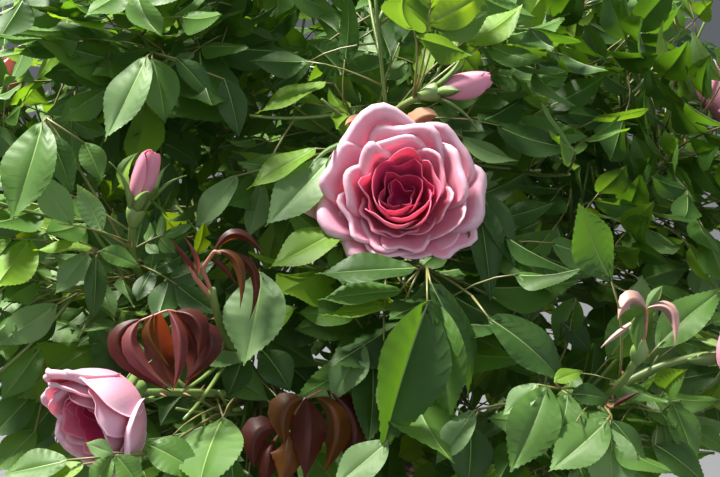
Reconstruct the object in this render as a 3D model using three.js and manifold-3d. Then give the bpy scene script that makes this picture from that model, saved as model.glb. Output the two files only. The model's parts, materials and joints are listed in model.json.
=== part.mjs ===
// A garden rose bush with pink cabbage blooms, standing in its black nursery container.
// Millimetres, +Z up. The origin is the middle of the container's flat underside, and -Y is the bush's front.
// Each shoot is one curve: its lower stretch is a woody cane, its upper stretch carries a mass of
// twigs, compound leaves and flowers that grow by one seeded rule.
import * as THREE from "three";
import { mergeVertices } from "three/addons/utils/BufferGeometryUtils.js";
import Module from "manifold-3d";

const wasm = await Module();
wasm.setup();

// Container
const potHeight = 250;
const potTopRadius = 140;
const potFootRadius = 112;
const potWall = 2.6;
const potSides = 28;
const rimHeight = 9;
const neckDepth = 4.5;
const neckHeight = 24;
const shoulderHeight = 7;
const drainRadius = 11;
const drainCount = 4;
const soilTop = 222;
const soilCrown = 6;

// Bud union, the woody knob that every cane grows from
const unionRadius = 21;
const unionFlare = 8;
const unionHeight = 30;
const footCircle = 13;
const footHeight = soilTop + soilCrown + 15;

// Clearances between neighbouring pieces
const seatGap = 0.3;
const cellMargin = 4;
const limbMargin = 12;
const bloomClear = 10;
const leavesApart = 12.5;
const stemApart = 8;
const weldSize = 0.02;

// Crown, as an egg-shaped space that twigs and leaves keep inside
const crownMiddle = new THREE.Vector3(0, -50, 490);
const crownRadii = new THREE.Vector3(345, 372, 285);

// Leaves: how a compound leaf divides its length among its stalk, end leaflet and side pairs
const leafEvery = 42;
const leafLength = 142;
const leafThick = 1.8;
const stalkHalf = 1.1;
const endLeaflet = 0.42;
const sidePairs = [
  { at: 0.5, length: 0.37 },
  { at: 0.27, length: 0.31 },
];
const sideAngle = 1.13;
const leafletWidth = 0.56;
const leafletWidest = 0.45;
const leafArch = 0.12;
const leafDroop = 0.5;
const turnTries = [0, 2.1, -2.1, 1.05, -1.05];

// Twigs that a shoot puts out from its sides
const twigCount = 2;
const twigLength = 92;
const twigRadius = 2.2;
const twigLeaves = 3;
const goldenTurn = (137.508 * Math.PI) / 180;

// Flowers: radius of each size, and the rings its petals stand in, each as a share of the way out
const bloomSizes = { large: 47, middle: 38, small: 31 };
const petalRings = { large: [1, 0.6], middle: [1, 0.4], small: [0.9] };
const petalThick = 1.6;
const budLength = 34;
const hipRadius = 6;

const up = new THREE.Vector3(0, 0, 1);

// The shoots. One that names no parent rises from the bud union at its foot's bearing in degrees.
// A fork leaves its parent's cane at a share of the parent's curve. The mass begins at enter.
const shoots = [
  { name: "front", foot: 270, tip: [25, -258, 524], aim: [0.18, -0.5, 0.84], enter: 0.5 },
  { name: "front_right", foot: 322, tip: [154, -350, 462], aim: [0.3, -0.05, 0.95], enter: 0.52 },
  { name: "front_left", foot: 218, tip: [-84, -322, 491], aim: [-0.1, -0.15, 0.98], enter: 0.55 },
  { name: "left_bud", foot: 180, tip: [-134, -274, 524], aim: [0.3, -0.1, 0.93], enter: 0.5 },
  { name: "tall_left", foot: 140, tip: [-160, -120, 735], aim: [-0.3, 0.05, 0.93], enter: 0.37 },
  { name: "centre", foot: 15, tip: [50, 30, 700], aim: [0.1, 0.1, 0.98], enter: 0.37 },
  { name: "back", foot: 80, tip: [10, 240, 590], aim: [0, 0.5, 0.85], enter: 0.4 },
  { name: "low_left", parent: "front_left", at: 0.36, tip: [-128, -342, 436], aim: [-0.9, -0.3, 0.1], enter: 0.3 },
  { name: "top_bud", parent: "centre", at: 0.32, tip: [44, -238, 592], aim: [0.93, -0.2, 0.28], enter: 0.3 },
  { name: "left", parent: "tall_left", at: 0.3, tip: [-262, -40, 560], aim: [-0.6, 0, 0.8], enter: 0.3 },
  { name: "right", parent: "front_right", at: 0.3, tip: [250, -90, 560], aim: [0.6, -0.1, 0.8], enter: 0.3 },
  { name: "back_right", parent: "centre", at: 0.22, tip: [185, 160, 610], aim: [0.5, 0.4, 0.8], enter: 0.3 },
  { name: "back_left", parent: "tall_left", at: 0.2, tip: [-165, 175, 620], aim: [-0.4, 0.5, 0.8], enter: 0.3 },
  { name: "low_back", parent: "back", at: 0.3, tip: [80, 265, 430], aim: [0.25, 0.9, 0.35], enter: 0.3 },
];
const footRadius = 6.2;
const forkRadius = 4.4;
const shootTipRadius = 2.2;
const footRise = 120;
const forkRise = 60;
const tipReach = 85;

// What each shoot ends in, and the way it faces
const flowers = [
  { on: "front", kind: "bloom", size: "large", face: [-0.03, -0.81, 0.58], open: 1 },
  { on: "low_left", kind: "bloom", size: "middle", face: [-0.72, -0.62, -0.25], open: 0.6 },
  { on: "left_bud", kind: "bud", face: [0.28, -0.1, 0.95], open: 0.2 },
  { on: "top_bud", kind: "bud", face: [0.96, -0.1, 0.25], open: 0.35 },
  { on: "front_right", kind: "hip", face: [0.2, -0.2, 0.95], open: 0 },
  { on: "tall_left", kind: "bud", face: [-0.2, 0, 0.98], open: 0.1 },
  { on: "centre", kind: "bud", face: [0.15, 0.05, 0.98], open: 0.15 },
  { on: "back", kind: "bloom", size: "middle", face: [0, 0.75, 0.65], open: 0.9 },
  { on: "left", kind: "bloom", size: "middle", face: [-0.8, -0.05, 0.6], open: 0.8 },
  { on: "right", kind: "bloom", size: "small", face: [0.75, 0.1, 0.65], open: 0.6 },
  { on: "back_left", kind: "bloom", size: "small", face: [-0.5, 0.6, 0.65], open: 0.7 },
  { on: "back_right", kind: "bud", face: [0.4, 0.4, 0.8], open: 0.2 },
];

// Side twigs placed by hand on the front: where they leave the shoot, and where they end
const placedTwigs = [
  { on: "front_right", at: 0.84, tip: [204, -332, 455], kind: "bloom", size: "small", face: [0.75, -0.6, 0.2], open: 0.5 },
];

// Leaves placed by hand on the front: where the stalk leaves the shoot, and where the end leaflet's tip lies
const placedLeaves = [
  { on: "front", at: 0.9, tip: [18, -373, 413], light: [-0.25, -0.9, 0.3] },
  { on: "front", at: 0.86, tip: [73, -345, 440], light: [0.5, -0.5, 0.7] },
  { on: "front", at: 0.72, tip: [-44, -318, 484], light: [0, -0.25, 0.95] },
  { on: "front", at: 0.8, tip: [123, -334, 448], light: [0.2, -0.5, 0.85] },
  { on: "front_right", at: 0.86, tip: [131, -405, 392], light: [0, -0.8, 0.6] },
  { on: "front_right", at: 0.78, tip: [82, -378, 402], light: [-0.2, -0.7, 0.65] },
  { on: "front_right", at: 0.72, tip: [205, -390, 420], light: [0.2, -0.6, 0.75] },
  { on: "front_left", at: 0.66, tip: [-66, -348, 446], light: [0.15, -0.75, 0.6] },
  { on: "front_left", at: 0.72, tip: [-24, -352, 404], light: [0.1, -0.5, 0.8] },
  { on: "front_left", at: 0.62, tip: [-106, -366, 446], light: [-0.1, -0.8, 0.5] },
  { on: "low_left", at: 0.62, tip: [-82, -404, 408], light: [0, -0.6, 0.8] },
  { on: "low_left", at: 0.55, tip: [-192, -318, 372], light: [-0.3, -0.4, 0.85] },
  { on: "left_bud", at: 0.8, tip: [-182, -305, 480], light: [-0.1, -0.75, 0.6] },
  { on: "left_bud", at: 0.86, tip: [-86, -300, 470], light: [0.1, -0.8, 0.6] },
  { on: "left_bud", at: 0.92, tip: [-208, -316, 528], light: [-0.2, -0.8, 0.6] },
  { on: "top_bud", at: 0.62, tip: [-70, -262, 536], light: [-0.1, -0.35, 0.9] },
  { on: "top_bud", at: 0.7, tip: [-57, -282, 512], light: [-0.1, -0.7, 0.65] },
  { on: "top_bud", at: 0.78, tip: [-66, -221, 583], light: [-0.1, -0.3, 0.9] },
  { on: "tall_left", at: 0.66, tip: [-154, -265, 570], light: [0, -0.9, 0.4] },
  { on: "tall_left", at: 0.7, tip: [-92, -243, 585], light: [0.2, -0.9, 0.4] },
];

// A repeatable run of numbers from 0 to 1
function makeChance(seed) {
  const modulus = 2147483647;
  let state = seed;
  return () => {
    state = (state * 16807) % modulus;
    return state / modulus;
  };
}

function vector(list) {
  return new THREE.Vector3(...list);
}

function mix(a, b, share) {
  return a + (b - a) * share;
}

function along(base, direction, distance) {
  return base.clone().addScaledVector(direction, distance);
}

function direction(list) {
  return vector(list).normalize();
}

// The level bearing from the bush's upright axis out to a point
function outward(point) {
  const level = new THREE.Vector3(point.x, point.y, 0);
  return level.length() < 1 ? new THREE.Vector3(0, -1, 0) : level.normalize();
}

// A geometry as a closed solid, with its faces turned outwards
function solidOf(geometry, weld = 1e-4) {
  const bare = geometry.clone();
  bare.deleteAttribute("normal");
  bare.deleteAttribute("uv");
  const merged = mergeVertices(bare, weld);
  const triVerts = new Uint32Array(merged.index.array);
  const vertProperties = new Float32Array(merged.attributes.position.array);
  const solid = new wasm.Manifold(new wasm.Mesh({ numProp: 3, vertProperties, triVerts }));
  if (solid.volume() >= 0) return solid;
  const turned = triVerts.slice();
  for (let i = 0; i < turned.length; i += 3) [turned[i + 1], turned[i + 2]] = [turned[i + 2], turned[i + 1]];
  return new wasm.Manifold(new wasm.Mesh({ numProp: 3, vertProperties, triVerts: turned }));
}

// The largest body of a fused solid, as a geometry. Sealed hollows and loose scraps are other bodies.
function largestBody(solid) {
  const bodies = solid.decompose().sort((a, b) => b.volume() - a.volume());
  const mesh = bodies[0].getMesh();
  const positions = new Float32Array(mesh.numVert * 3);
  for (let i = 0; i < mesh.numVert; i++) {
    positions.set(mesh.vertProperties.subarray(i * mesh.numProp, i * mesh.numProp + 3), i * 3);
  }
  const geometry = new THREE.BufferGeometry();
  geometry.setAttribute("position", new THREE.BufferAttribute(positions, 3));
  geometry.setIndex(new THREE.BufferAttribute(new Uint32Array(mesh.triVerts), 1));
  return geometry;
}

// A fused solid's geometry, welded so that no hairline gap or sliver is left in it
function geometryOf(solid) {
  const rough = largestBody(solid.simplify(weldSize)).toNonIndexed();
  const geometry = largestBody(solidOf(rough, 1e-3));
  geometry.computeVertexNormals();
  return geometry;
}

// Moves every vertex of a unit geometry to where place(x, y, z) puts it
function shaped(geometry, place) {
  const position = geometry.getAttribute("position");
  for (let i = 0; i < position.count; i++) {
    const p = place(position.getX(i), position.getY(i), position.getZ(i));
    position.setXYZ(i, p.x, p.y, p.z);
  }
  return geometry;
}

// A round tapering limb along a stretch of a curve
function limb(curve, start, end, startRadius, endRadius, sides, steps) {
  const first = curve.getTangent(start);
  const last = curve.getTangent(end);
  const hinge = new THREE.Vector3().crossVectors(first, last);
  if (hinge.length() < 0.05) hinge.crossVectors(first, new THREE.Vector3(0.31, 0.87, 0.38));
  hinge.normalize();
  const unit = new THREE.CylinderGeometry(1, 1, 1, sides, steps);
  return shaped(unit, (x, y, z) => {
    const share = y + 0.5;
    const t = mix(start, end, share);
    const heading = curve.getTangent(t);
    const across = new THREE.Vector3().crossVectors(heading, hinge).normalize();
    const beside = new THREE.Vector3().crossVectors(across, heading).normalize();
    const radius = mix(startRadius, endRadius, share);
    return along(along(curve.getPoint(t), across, x * radius), beside, z * radius);
  });
}

// The curve of one shoot, from the bud union or its parent's cane to its tip
function shootCurve(row) {
  const tip = vector(row.tip);
  const aim = direction(row.aim);
  let foot;
  let rise;
  if (row.parent) {
    const parent = shoots.find((s) => s.name === row.parent);
    foot = parent.curve.getPoint(row.at);
    const onward = parent.curve.getTangent(row.at);
    const away = tip.clone().sub(foot).normalize();
    rise = onward.multiplyScalar(0.5).add(away).normalize().multiplyScalar(forkRise);
  } else {
    const bearing = THREE.MathUtils.degToRad(row.foot);
    const out = new THREE.Vector3(Math.cos(bearing), Math.sin(bearing), 0);
    foot = out.clone().multiplyScalar(footCircle).setZ(footHeight);
    rise = out.multiplyScalar(0.5).add(up).normalize().multiplyScalar(footRise);
  }
  const reach = aim.multiplyScalar(tipReach);
  return new THREE.CubicBezierCurve3(foot, foot.clone().add(rise), tip.clone().sub(reach), tip);
}

// Radius of a shoot's cane at a share of its curve
function shootRadius(row, t) {
  return mix(row.parent ? forkRadius : footRadius, shootTipRadius, Math.sqrt(t));
}

// Points that stand for the space of a shoot's mass
function axisPoints(row) {
  const points = lineOf(row.curve, row.enter, 1);
  for (const twig of placedTwigs.filter((t) => t.on === row.name)) {
    const base = row.curve.getPoint(twig.at);
    for (const share of [0.33, 0.66, 1]) points.push(base.clone().lerp(vector(twig.tip), share));
  }
  for (const leaf of placedLeaves.filter((l) => l.on === row.name)) {
    const base = row.curve.getPoint(leaf.at);
    for (const share of [0.3, 0.55, 0.8, 1]) points.push(base.clone().lerp(vector(leaf.tip), share));
  }
  return points;
}

function nearest(points, p) {
  return Math.sqrt(points.reduce((least, q) => Math.min(least, q.distanceToSquared(p)), Infinity));
}

// A curve's stretch as a line of seven points joined up
function lineOf(curve, start, end) {
  return [0, 1, 2, 3, 4, 5, 6].map((i) => curve.getPoint(mix(start, end, i / 6)));
}

// Distance from a point to a line of points joined up
function fromLine(points, p) {
  let least = Infinity;
  for (let i = 1; i < points.length; i++) {
    const run = points[i].clone().sub(points[i - 1]);
    const share = THREE.MathUtils.clamp(p.clone().sub(points[i - 1]).dot(run) / run.lengthSq(), 0, 1);
    least = Math.min(least, p.distanceTo(along(points[i - 1], run, share)));
  }
  return least;
}

// True if a point is in the crown, nearer to its own shoot than to any other, and clear of canes and flowers
function isFree(p, own, placed) {
  const fromMiddle = p.clone().sub(crownMiddle).divide(crownRadii);
  if (!placed && fromMiddle.length() > 1) return false;
  const mine = nearest(own.axis, p);
  for (const other of shoots) {
    if (other !== own && nearest(other.axis, p) < mine + cellMargin) return false;
    if (fromLine(other.cane, p) < (placed ? 0.6 : 1) * limbMargin) return false;
  }
  for (const bloom of allFlowers) {
    if (p.distanceTo(bloom.middle) < bloom.radius + bloomClear * 0.3) return false;
    const ahead = p.clone().sub(bloom.middle);
    const forward = ahead.dot(bloom.face);
    const aside = Math.sqrt(Math.max(0, ahead.lengthSq() - forward * forward));
    if (!placed && forward > 0 && forward < bloom.view * bloom.radius && aside < bloom.radius + bloomClear) return false;
  }
  return true;
}

// The axes of a compound leaf from its stalk's foot to its tip, with its upper side towards the light
function leafFrame(base, tip, light) {
  const heading = tip.clone().sub(base);
  const length = heading.length();
  heading.normalize();
  const side = new THREE.Vector3().crossVectors(heading, light).normalize();
  const face = new THREE.Vector3().crossVectors(side, heading).normalize();
  return { base, heading, side, face, length };
}

// A point of a leaf, given along and aside as shares of its length, on its arched and drooping surface
function leafPoint(frame, s, w, lift = 0) {
  const rise = (leafArch * Math.sin(Math.PI * Math.max(0, s)) - leafDroop * w * w) * frame.length + lift;
  const out = along(frame.base, frame.heading, s * frame.length);
  return along(along(out, frame.side, w * frame.length), frame.face, rise);
}

// The corners of a leaflet that leaves the stalk at a point, at an angle to it, in shares of the leaf's length
function leafletCorners(at, angle, length) {
  const [c, n] = [Math.cos(angle), Math.sin(angle)];
  const half = (length * leafletWidth) / 2;
  const corner = (t, out) => [at + t * c - out * n, t * n + out * c];
  return [corner(leafletWidest * length, half), corner(length, 0), corner(leafletWidest * length, -half)];
}

// The leaflets of a compound leaf, with the corners of each
function leafletPlan() {
  const plan = [{ at: 1 - endLeaflet, hand: 0, corners: leafletCorners(1 - endLeaflet, 0, endLeaflet) }];
  for (const pair of sidePairs) {
    for (const hand of [1, -1]) {
      plan.push({ at: pair.at, hand, corners: leafletCorners(pair.at, hand * sideAngle, pair.length) });
    }
  }
  return plan;
}

// The points of a leaflet that have to lie in free space
function leafletPoints(frame, leaflet) {
  const [left, tip, right] = leaflet.corners;
  const foot = [leaflet.at, 0];
  const half = (p, q) => [(p[0] + q[0]) / 2, (p[1] + q[1]) / 2];
  const spots = [foot, left, tip, right, half(left, right), half(left, tip), half(right, tip), half(foot, left), half(foot, right)];
  return spots.map(([s, w]) => leafPoint(frame, s, w));
}

// A thin closed plate from its corners and its faces, each a loop of corner numbers wound the same way
function plateSolid(corners, faces, place) {
  const count = corners.length;
  const positions = [0.5, -0.5].flatMap((z) => corners.flatMap(([s, w]) => place(s, w, z).toArray()));
  const triangles = [];
  const edges = new Set(faces.flatMap((face) => face.map((a, i) => a + "," + face[(i + 1) % face.length])));
  for (const face of faces) {
    for (let i = 2; i < face.length; i++) {
      triangles.push(face[0], face[i - 1], face[i], face[0] + count, face[i] + count, face[i - 1] + count);
    }
    face.forEach((a, i) => {
      const b = face[(i + 1) % face.length];
      if (!edges.has(b + "," + a)) triangles.push(a, a + count, b + count, a, b + count, b);
    });
  }
  const geometry = new THREE.BufferGeometry();
  geometry.setAttribute("position", new THREE.Float32BufferAttribute(positions, 3));
  geometry.setIndex(triangles);
  return solidOf(geometry);
}

// A compound leaf as one thin plate, arched over: its stalk in stretches, and a kite for each leaflet
function leafSolid(frame, leaflets) {
  const half = stalkHalf / frame.length;
  const corners = [];
  const faces = [];
  const addRung = (s) => corners.push([s, -half], [s, half]) - 2;
  let last = addRung(0);
  const addStretch = (s) => {
    const next = addRung(s);
    faces.push([last, last + 1, next + 1, next]);
    return next;
  };
  for (const pair of [...sidePairs].reverse()) {
    const kites = leaflets.filter((leaflet) => leaflet.at === pair.at);
    if (!kites.length) continue;
    const low = addStretch(pair.at - half);
    last = low;
    const high = addStretch(pair.at + half);
    last = high;
    for (const kite of kites) {
      const k = corners.length;
      corners.push(...kite.corners);
      faces.push(kite.hand > 0 ? [low + 1, k, k + 1, k + 2, high + 1] : [high, k, k + 1, k + 2, low]);
    }
  }
  const end = addStretch(1 - endLeaflet);
  const k = corners.length;
  corners.push(...leaflets[0].corners);
  faces.push([end, end + 1, k, k + 1, k + 2]);
  return plateSolid(corners, faces, (s, w, z) => leafPoint(frame, s, w, z * leafThick));
}

// True if a leaf's stalk runs clear of every cane
function isStalkClear(frame) {
  return [0.2, 0.3, 0.4, 0.5].every((s) => shoots.every((row) => fromLine(row.cane, leafPoint(frame, s, 0)) > limbMargin * 0.6));
}

// Adds one compound leaf, with those of its leaflets that lie in free space. False if its end leaflet has no room.
function addLeaf(pieces, own, base, tip, light, placed) {
  const frame = leafFrame(base, tip, light);
  const kept = leafletPlan().filter((leaflet) =>
    leafletPoints(frame, leaflet).every(
      (p) => nearest(own.taken, p) > leavesApart && own.stems.every((stem) => fromLine(stem, p) > stemApart) && isFree(p, own, placed)
    )
  );
  if (!kept.length || kept[0].hand !== 0 || !isStalkClear(frame)) return false;
  kept.forEach((leaflet) => own.taken.push(...leafletPoints(frame, leaflet)));
  pieces.push(leafSolid(frame, kept));
  return true;
}

// Leaves along a stretch of stem, one at each node, each a golden turn round from the last.
// A leaf with no room is tried again further round its stem.
function addLeaves(pieces, own, curve, start, end, count, size, chance) {
  for (let i = 0; i < count; i++) {
    const t = mix(start, end, (i + 0.7) / count);
    const turn = i * goldenTurn + 6.28 * chance();
    const length = leafLength * size * mix(0.82, 1.12, chance());
    const droop = mix(0.1, 0.75, chance());
    const roll = mix(-0.5, 0.5, chance());
    const base = curve.getPoint(t);
    const stem = curve.getTangent(t);
    const first = new THREE.Vector3().crossVectors(stem, new THREE.Vector3(0.3, 0.5, 0.81)).normalize();
    turnTries.some((extra) => {
      const round = first.clone().applyAxisAngle(stem, turn + extra);
      const way = stem.clone().multiplyScalar(0.45).add(round).addScaledVector(outward(base), 0.35);
      way.addScaledVector(up, -droop).normalize();
      const light = up.clone().multiplyScalar(0.8).addScaledVector(outward(base), 0.6).normalize();
      light.applyAxisAngle(way, roll);
      return addLeaf(pieces, own, base, along(base, way, length), light, false);
    });
  }
}

// Length of a stretch of curve, near enough for counting leaves
function stretch(curve, start, end) {
  return curve.getPoint(start).distanceTo(curve.getPoint((start + end) / 2)) +
    curve.getPoint((start + end) / 2).distanceTo(curve.getPoint(end));
}

// The shape of a ring of petals at a share of the way from the heart (0) to the outside (1) of a flower
function petalShape(flower, share) {
  return {
    length: flower.radius * mix(0.42, 0.88, share),
    foot: flower.radius * 0.2,
    start: flower.radius * mix(0.42, 0.08, share),
    lean: mix(0.25, 1.15, share) * mix(0.65, 1, flower.open),
    bend: share * mix(-0.75, 0.35, flower.open),
  };
}

// Radius and height of a petal's midline at a share v of its length
function petalMidline(petal, v) {
  const steps = 8;
  let radius = petal.foot;
  let height = petal.start;
  for (let i = 0; i < steps; i++) {
    const angle = petal.lean + petal.bend * ((i + 0.5) / steps) * v;
    radius += (Math.sin(angle) * petal.length * v) / steps;
    height += (Math.cos(angle) * petal.length * v) / steps;
  }
  return [radius, height];
}

// The section through a whole bloom from its hip, up and down each ring of petals, to its heart.
// Each corner is a radius, a height and how far the ring's lobes reach there.
function bloomSection(flower) {
  const r = flower.radius;
  const h = flower.hip;
  const corners = [[0, -1.5 * h, 0], [h, -0.6 * h, 0]];
  petalRings[flower.size].forEach((share, ring) => {
    const petal = petalShape(flower, share);
    const hand = ring % 2 ? -1 : 1;
    const outside = ring ? [0.45, 0.8, 1] : [0.12, 0.45, 0.8, 1];
    for (const v of outside) corners.push([...petalMidline(petal, v), hand * v * v]);
    for (const v of [0.85, 0.4]) {
      const [radius, height] = petalMidline(petal, v);
      corners.push([radius - petalThick, height + petalThick, hand * v * v]);
    }
  });
  corners.push([0.3 * r, 0.45 * r, 0], [0.22 * r, 0.66 * r, 0], [0, 0.7 * r, 0]);
  return corners;
}

// A point of a flower's own space, given out from its axis, aside and along the axis, turned round it
function flowerPoint(flower, out, aside, height, turn) {
  const x = out * Math.cos(turn) - aside * Math.sin(turn);
  const y = out * Math.sin(turn) + aside * Math.cos(turn);
  return along(along(along(flower.base, flower.across, x), flower.beside, y), flower.face, height);
}

// A solid turned about a flower's axis from pairs of radius and height
function turnedSolid(flower, profile, sides) {
  const lathe = new THREE.LatheGeometry(profile.map(([r, h]) => new THREE.Vector2(r, h)), sides);
  return solidOf(shaped(lathe, (x, y, z) => flowerPoint(flower, x, z, y, 0)));
}

// A sepal as a thin solid of eight faces
function sepalSolid(base, tip, side, face) {
  const half = base.distanceTo(tip) * 0.16;
  const middle = base.clone().lerp(tip, 0.35);
  return solidOf(
    shaped(new THREE.OctahedronGeometry(1), (x, y, z) => {
      if (Math.abs(x) > 0.5) return x > 0 ? tip : base;
      return along(along(middle, side, y * half), face, z);
    })
  );
}

// The five sepals of a bud or a fruit
function sepalSolids(flower) {
  const solids = [];
  for (let i = 0; i < 5; i++) {
    const turn = (i * 2 * Math.PI) / 5 + 0.4;
    const base = flowerPoint(flower, flower.hip * 0.4, 0, flower.hip * 0.4, turn);
    const reach = flowerPoint(flower, Math.sin(flower.sepalLean), 0, Math.cos(flower.sepalLean), turn).sub(flower.base);
    const side = new THREE.Vector3().crossVectors(reach, flower.face).normalize();
    const face = new THREE.Vector3().crossVectors(side, reach).normalize();
    solids.push(sepalSolid(base, along(base, reach, flower.sepalLength), side, face));
  }
  return solids;
}

// All the solids of one flower
function flowerSolids(flower) {
  const r = flower.radius;
  const h = flower.hip;
  if (flower.kind === "bud") {
    const l = budLength;
    const bud = [[0, -1.2 * h], [h, -0.3 * h], [0.8 * h, 0.5 * h], [0.38 * l, 0.45 * l], [0.24 * l, 0.85 * l], [0, 1.15 * l]];
    return [turnedSolid(flower, bud, 7), ...sepalSolids(flower)];
  }
  if (flower.kind === "hip") {
    return [turnedSolid(flower, [[0, -1.5 * h], [h, -0.6 * h], [h, 0.5 * h], [0.7 * h, 1.2 * h], [0, 2 * h]], 6), ...sepalSolids(flower)];
  }
  const corners = bloomSection(flower);
  const sides = flower.size === "large" ? 15 : 10;
  const rings = new THREE.LatheGeometry(corners.map((c, i) => new THREE.Vector2(i === 0 || i === corners.length - 1 ? 0 : 1, i)), sides);
  return [
    solidOf(
      shaped(rings, (x, y, z) => {
        const [radius, height, lobe] = corners[Math.round(y)];
        const around = Math.atan2(z, x);
        const wave = Math.cos(5 * around) * lobe;
        const out = Math.hypot(x, z) * radius * (1 + 0.05 * wave);
        return flowerPoint(flower, out * Math.cos(around), out * Math.sin(around), height + 0.07 * wave * r, 0);
      })
    ),
  ];
}

// Works out a flower's axes, radius and middle from its row and its stem's end
function placeFlower(row, base, own) {
  const face = direction(row.face);
  const across = new THREE.Vector3().crossVectors(face, new THREE.Vector3(0.2, 0.3, 0.93)).normalize();
  const beside = new THREE.Vector3().crossVectors(face, across).normalize();
  const radius = row.kind === "bloom" ? bloomSizes[row.size] : row.kind === "bud" ? budLength * 0.4 : hipRadius;
  const depth = row.kind === "bloom" ? radius * 0.55 : row.kind === "bud" ? budLength * 0.5 : hipRadius;
  const sepalLean = row.kind === "bloom" ? 2.2 : row.kind === "bud" ? 0.55 : 2.5;
  const sepalLength = row.kind === "hip" ? 28 : 20;
  const hip = row.kind === "bloom" ? hipRadius : hipRadius * 0.8;
  const view = row.size === "large" ? 3 : 1.5;
  return { ...row, own, base, face, across, beside, radius, hip, sepalLean, sepalLength, view, middle: along(base, face, depth) };
}

// One shoot's mass: its stem, side twigs, leaves and flowers fused into a single body
function massSolid(own) {
  const chance = makeChance(own.seed);
  const start = own.enter + seatGap / own.curve.getLength();
  const startRadius = shootRadius(own, own.enter);
  const pieces = [solidOf(limb(own.curve, start, 1, startRadius, shootTipRadius, 5, 6))];
  for (const leaf of placedLeaves.filter((l) => l.on === own.name)) {
    addLeaf(pieces, own, own.curve.getPoint(leaf.at), vector(leaf.tip), direction(leaf.light), true);
  }
  const leafCount = Math.round(stretch(own.curve, own.enter, 1) / leafEvery);
  addLeaves(pieces, own, own.curve, own.enter, 0.97, leafCount, 1, chance);
  for (let i = 0; i < twigCount; i++) {
    const t = mix(own.enter, 0.9, (i + 0.5) / twigCount);
    const turn = i * goldenTurn + 6.28 * chance();
    const length = twigLength * mix(0.75, 1.15, chance());
    const base = own.curve.getPoint(t);
    const stem = own.curve.getTangent(t);
    const round = new THREE.Vector3().crossVectors(stem, new THREE.Vector3(0.3, 0.5, 0.81)).normalize();
    round.applyAxisAngle(stem, turn);
    const way = stem.clone().multiplyScalar(0.7).add(round).normalize();
    const tip = along(along(base, way, length), up, length * 0.15);
    const curve = new THREE.QuadraticBezierCurve3(base, along(base, way, length * 0.5), tip);
    const clear = [0.5, 0.75, 1].every((share) => isFree(curve.getPoint(share), own, false));
    if (clear) {
      own.stems.push(lineOf(curve, 0, 1));
      pieces.push(solidOf(limb(curve, 0, 1, twigRadius, twigRadius * 0.8, 4, 2)));
    }
    const room = clear ? own : null;
    addTwigLeaves(pieces, room, curve, chance);
  }
  for (const twig of placedTwigs.filter((t) => t.on === own.name)) {
    pieces.push(solidOf(limb(twigCurve(own, twig), 0, 1, twigRadius * 1.2, twigRadius, 4, 4)));
  }
  for (const flower of allFlowers.filter((f) => f.own === own)) pieces.push(...flowerSolids(flower));
  return wasm.Manifold.union(pieces);
}

// Leaves of a side twig. The numbers are drawn for a twig that has no room too, so that the rest stay as they are.
function addTwigLeaves(pieces, room, curve, chance) {
  const bin = room ? pieces : [];
  if (room) addLeaves(bin, room, curve, 0.15, 1.02, twigLeaves, 0.85, chance);
  else for (let i = 0; i < 4 * twigLeaves; i++) chance();
}

// The arching curve of a side twig placed by hand
function twigCurve(own, twig) {
  const base = own.curve.getPoint(twig.at);
  const tip = vector(twig.tip);
  const bow = base.clone().lerp(tip, 0.5).addScaledVector(up, base.distanceTo(tip) * 0.18);
  return new THREE.QuadraticBezierCurve3(base, bow, tip);
}

// A cane from its foot to where its mass begins, cut clear of what it grows from
function caneSolid(own) {
  const whole = solidOf(limb(own.curve, 0, own.enter, shootRadius(own, 0), shootRadius(own, own.enter), 6, 5));
  if (!own.parent) return whole.subtract(unionBlock(seatGap));
  const parent = shoots.find((s) => s.name === own.parent);
  const fat = solidOf(
    limb(parent.curve, 0, parent.enter, shootRadius(parent, 0) + seatGap, shootRadius(parent, parent.enter) + seatGap, 6, 5)
  );
  return whole.subtract(fat);
}

// The bud union, flared to its flat cut on the soil, grown by a gap for cutting the canes clear
function unionBlock(grow) {
  const base = soilTop + soilCrown + seatGap;
  const profile = [
    [0, base - grow],
    [unionRadius + unionFlare + grow, base - grow],
    [unionRadius + grow, base + unionHeight * 0.35],
    [unionRadius * 0.85 + grow, base + unionHeight * 0.75],
    [unionRadius * 0.45 + grow, base + unionHeight + grow],
    [0, base + unionHeight + grow],
  ];
  return turnedUpright(profile, 14);
}

// A solid turned about the upright axis from pairs of radius and height
function turnedUpright(profile, sides) {
  const lathe = new THREE.LatheGeometry(profile.map(([r, h]) => new THREE.Vector2(r, h)), sides);
  return solidOf(lathe.rotateX(Math.PI / 2));
}

// Outer radius of the container's tapered wall at a height
function wallRadius(height) {
  const wallTop = potHeight - rimHeight - neckHeight - shoulderHeight;
  return mix(potFootRadius, potTopRadius - neckDepth * 2, height / wallTop);
}

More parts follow.
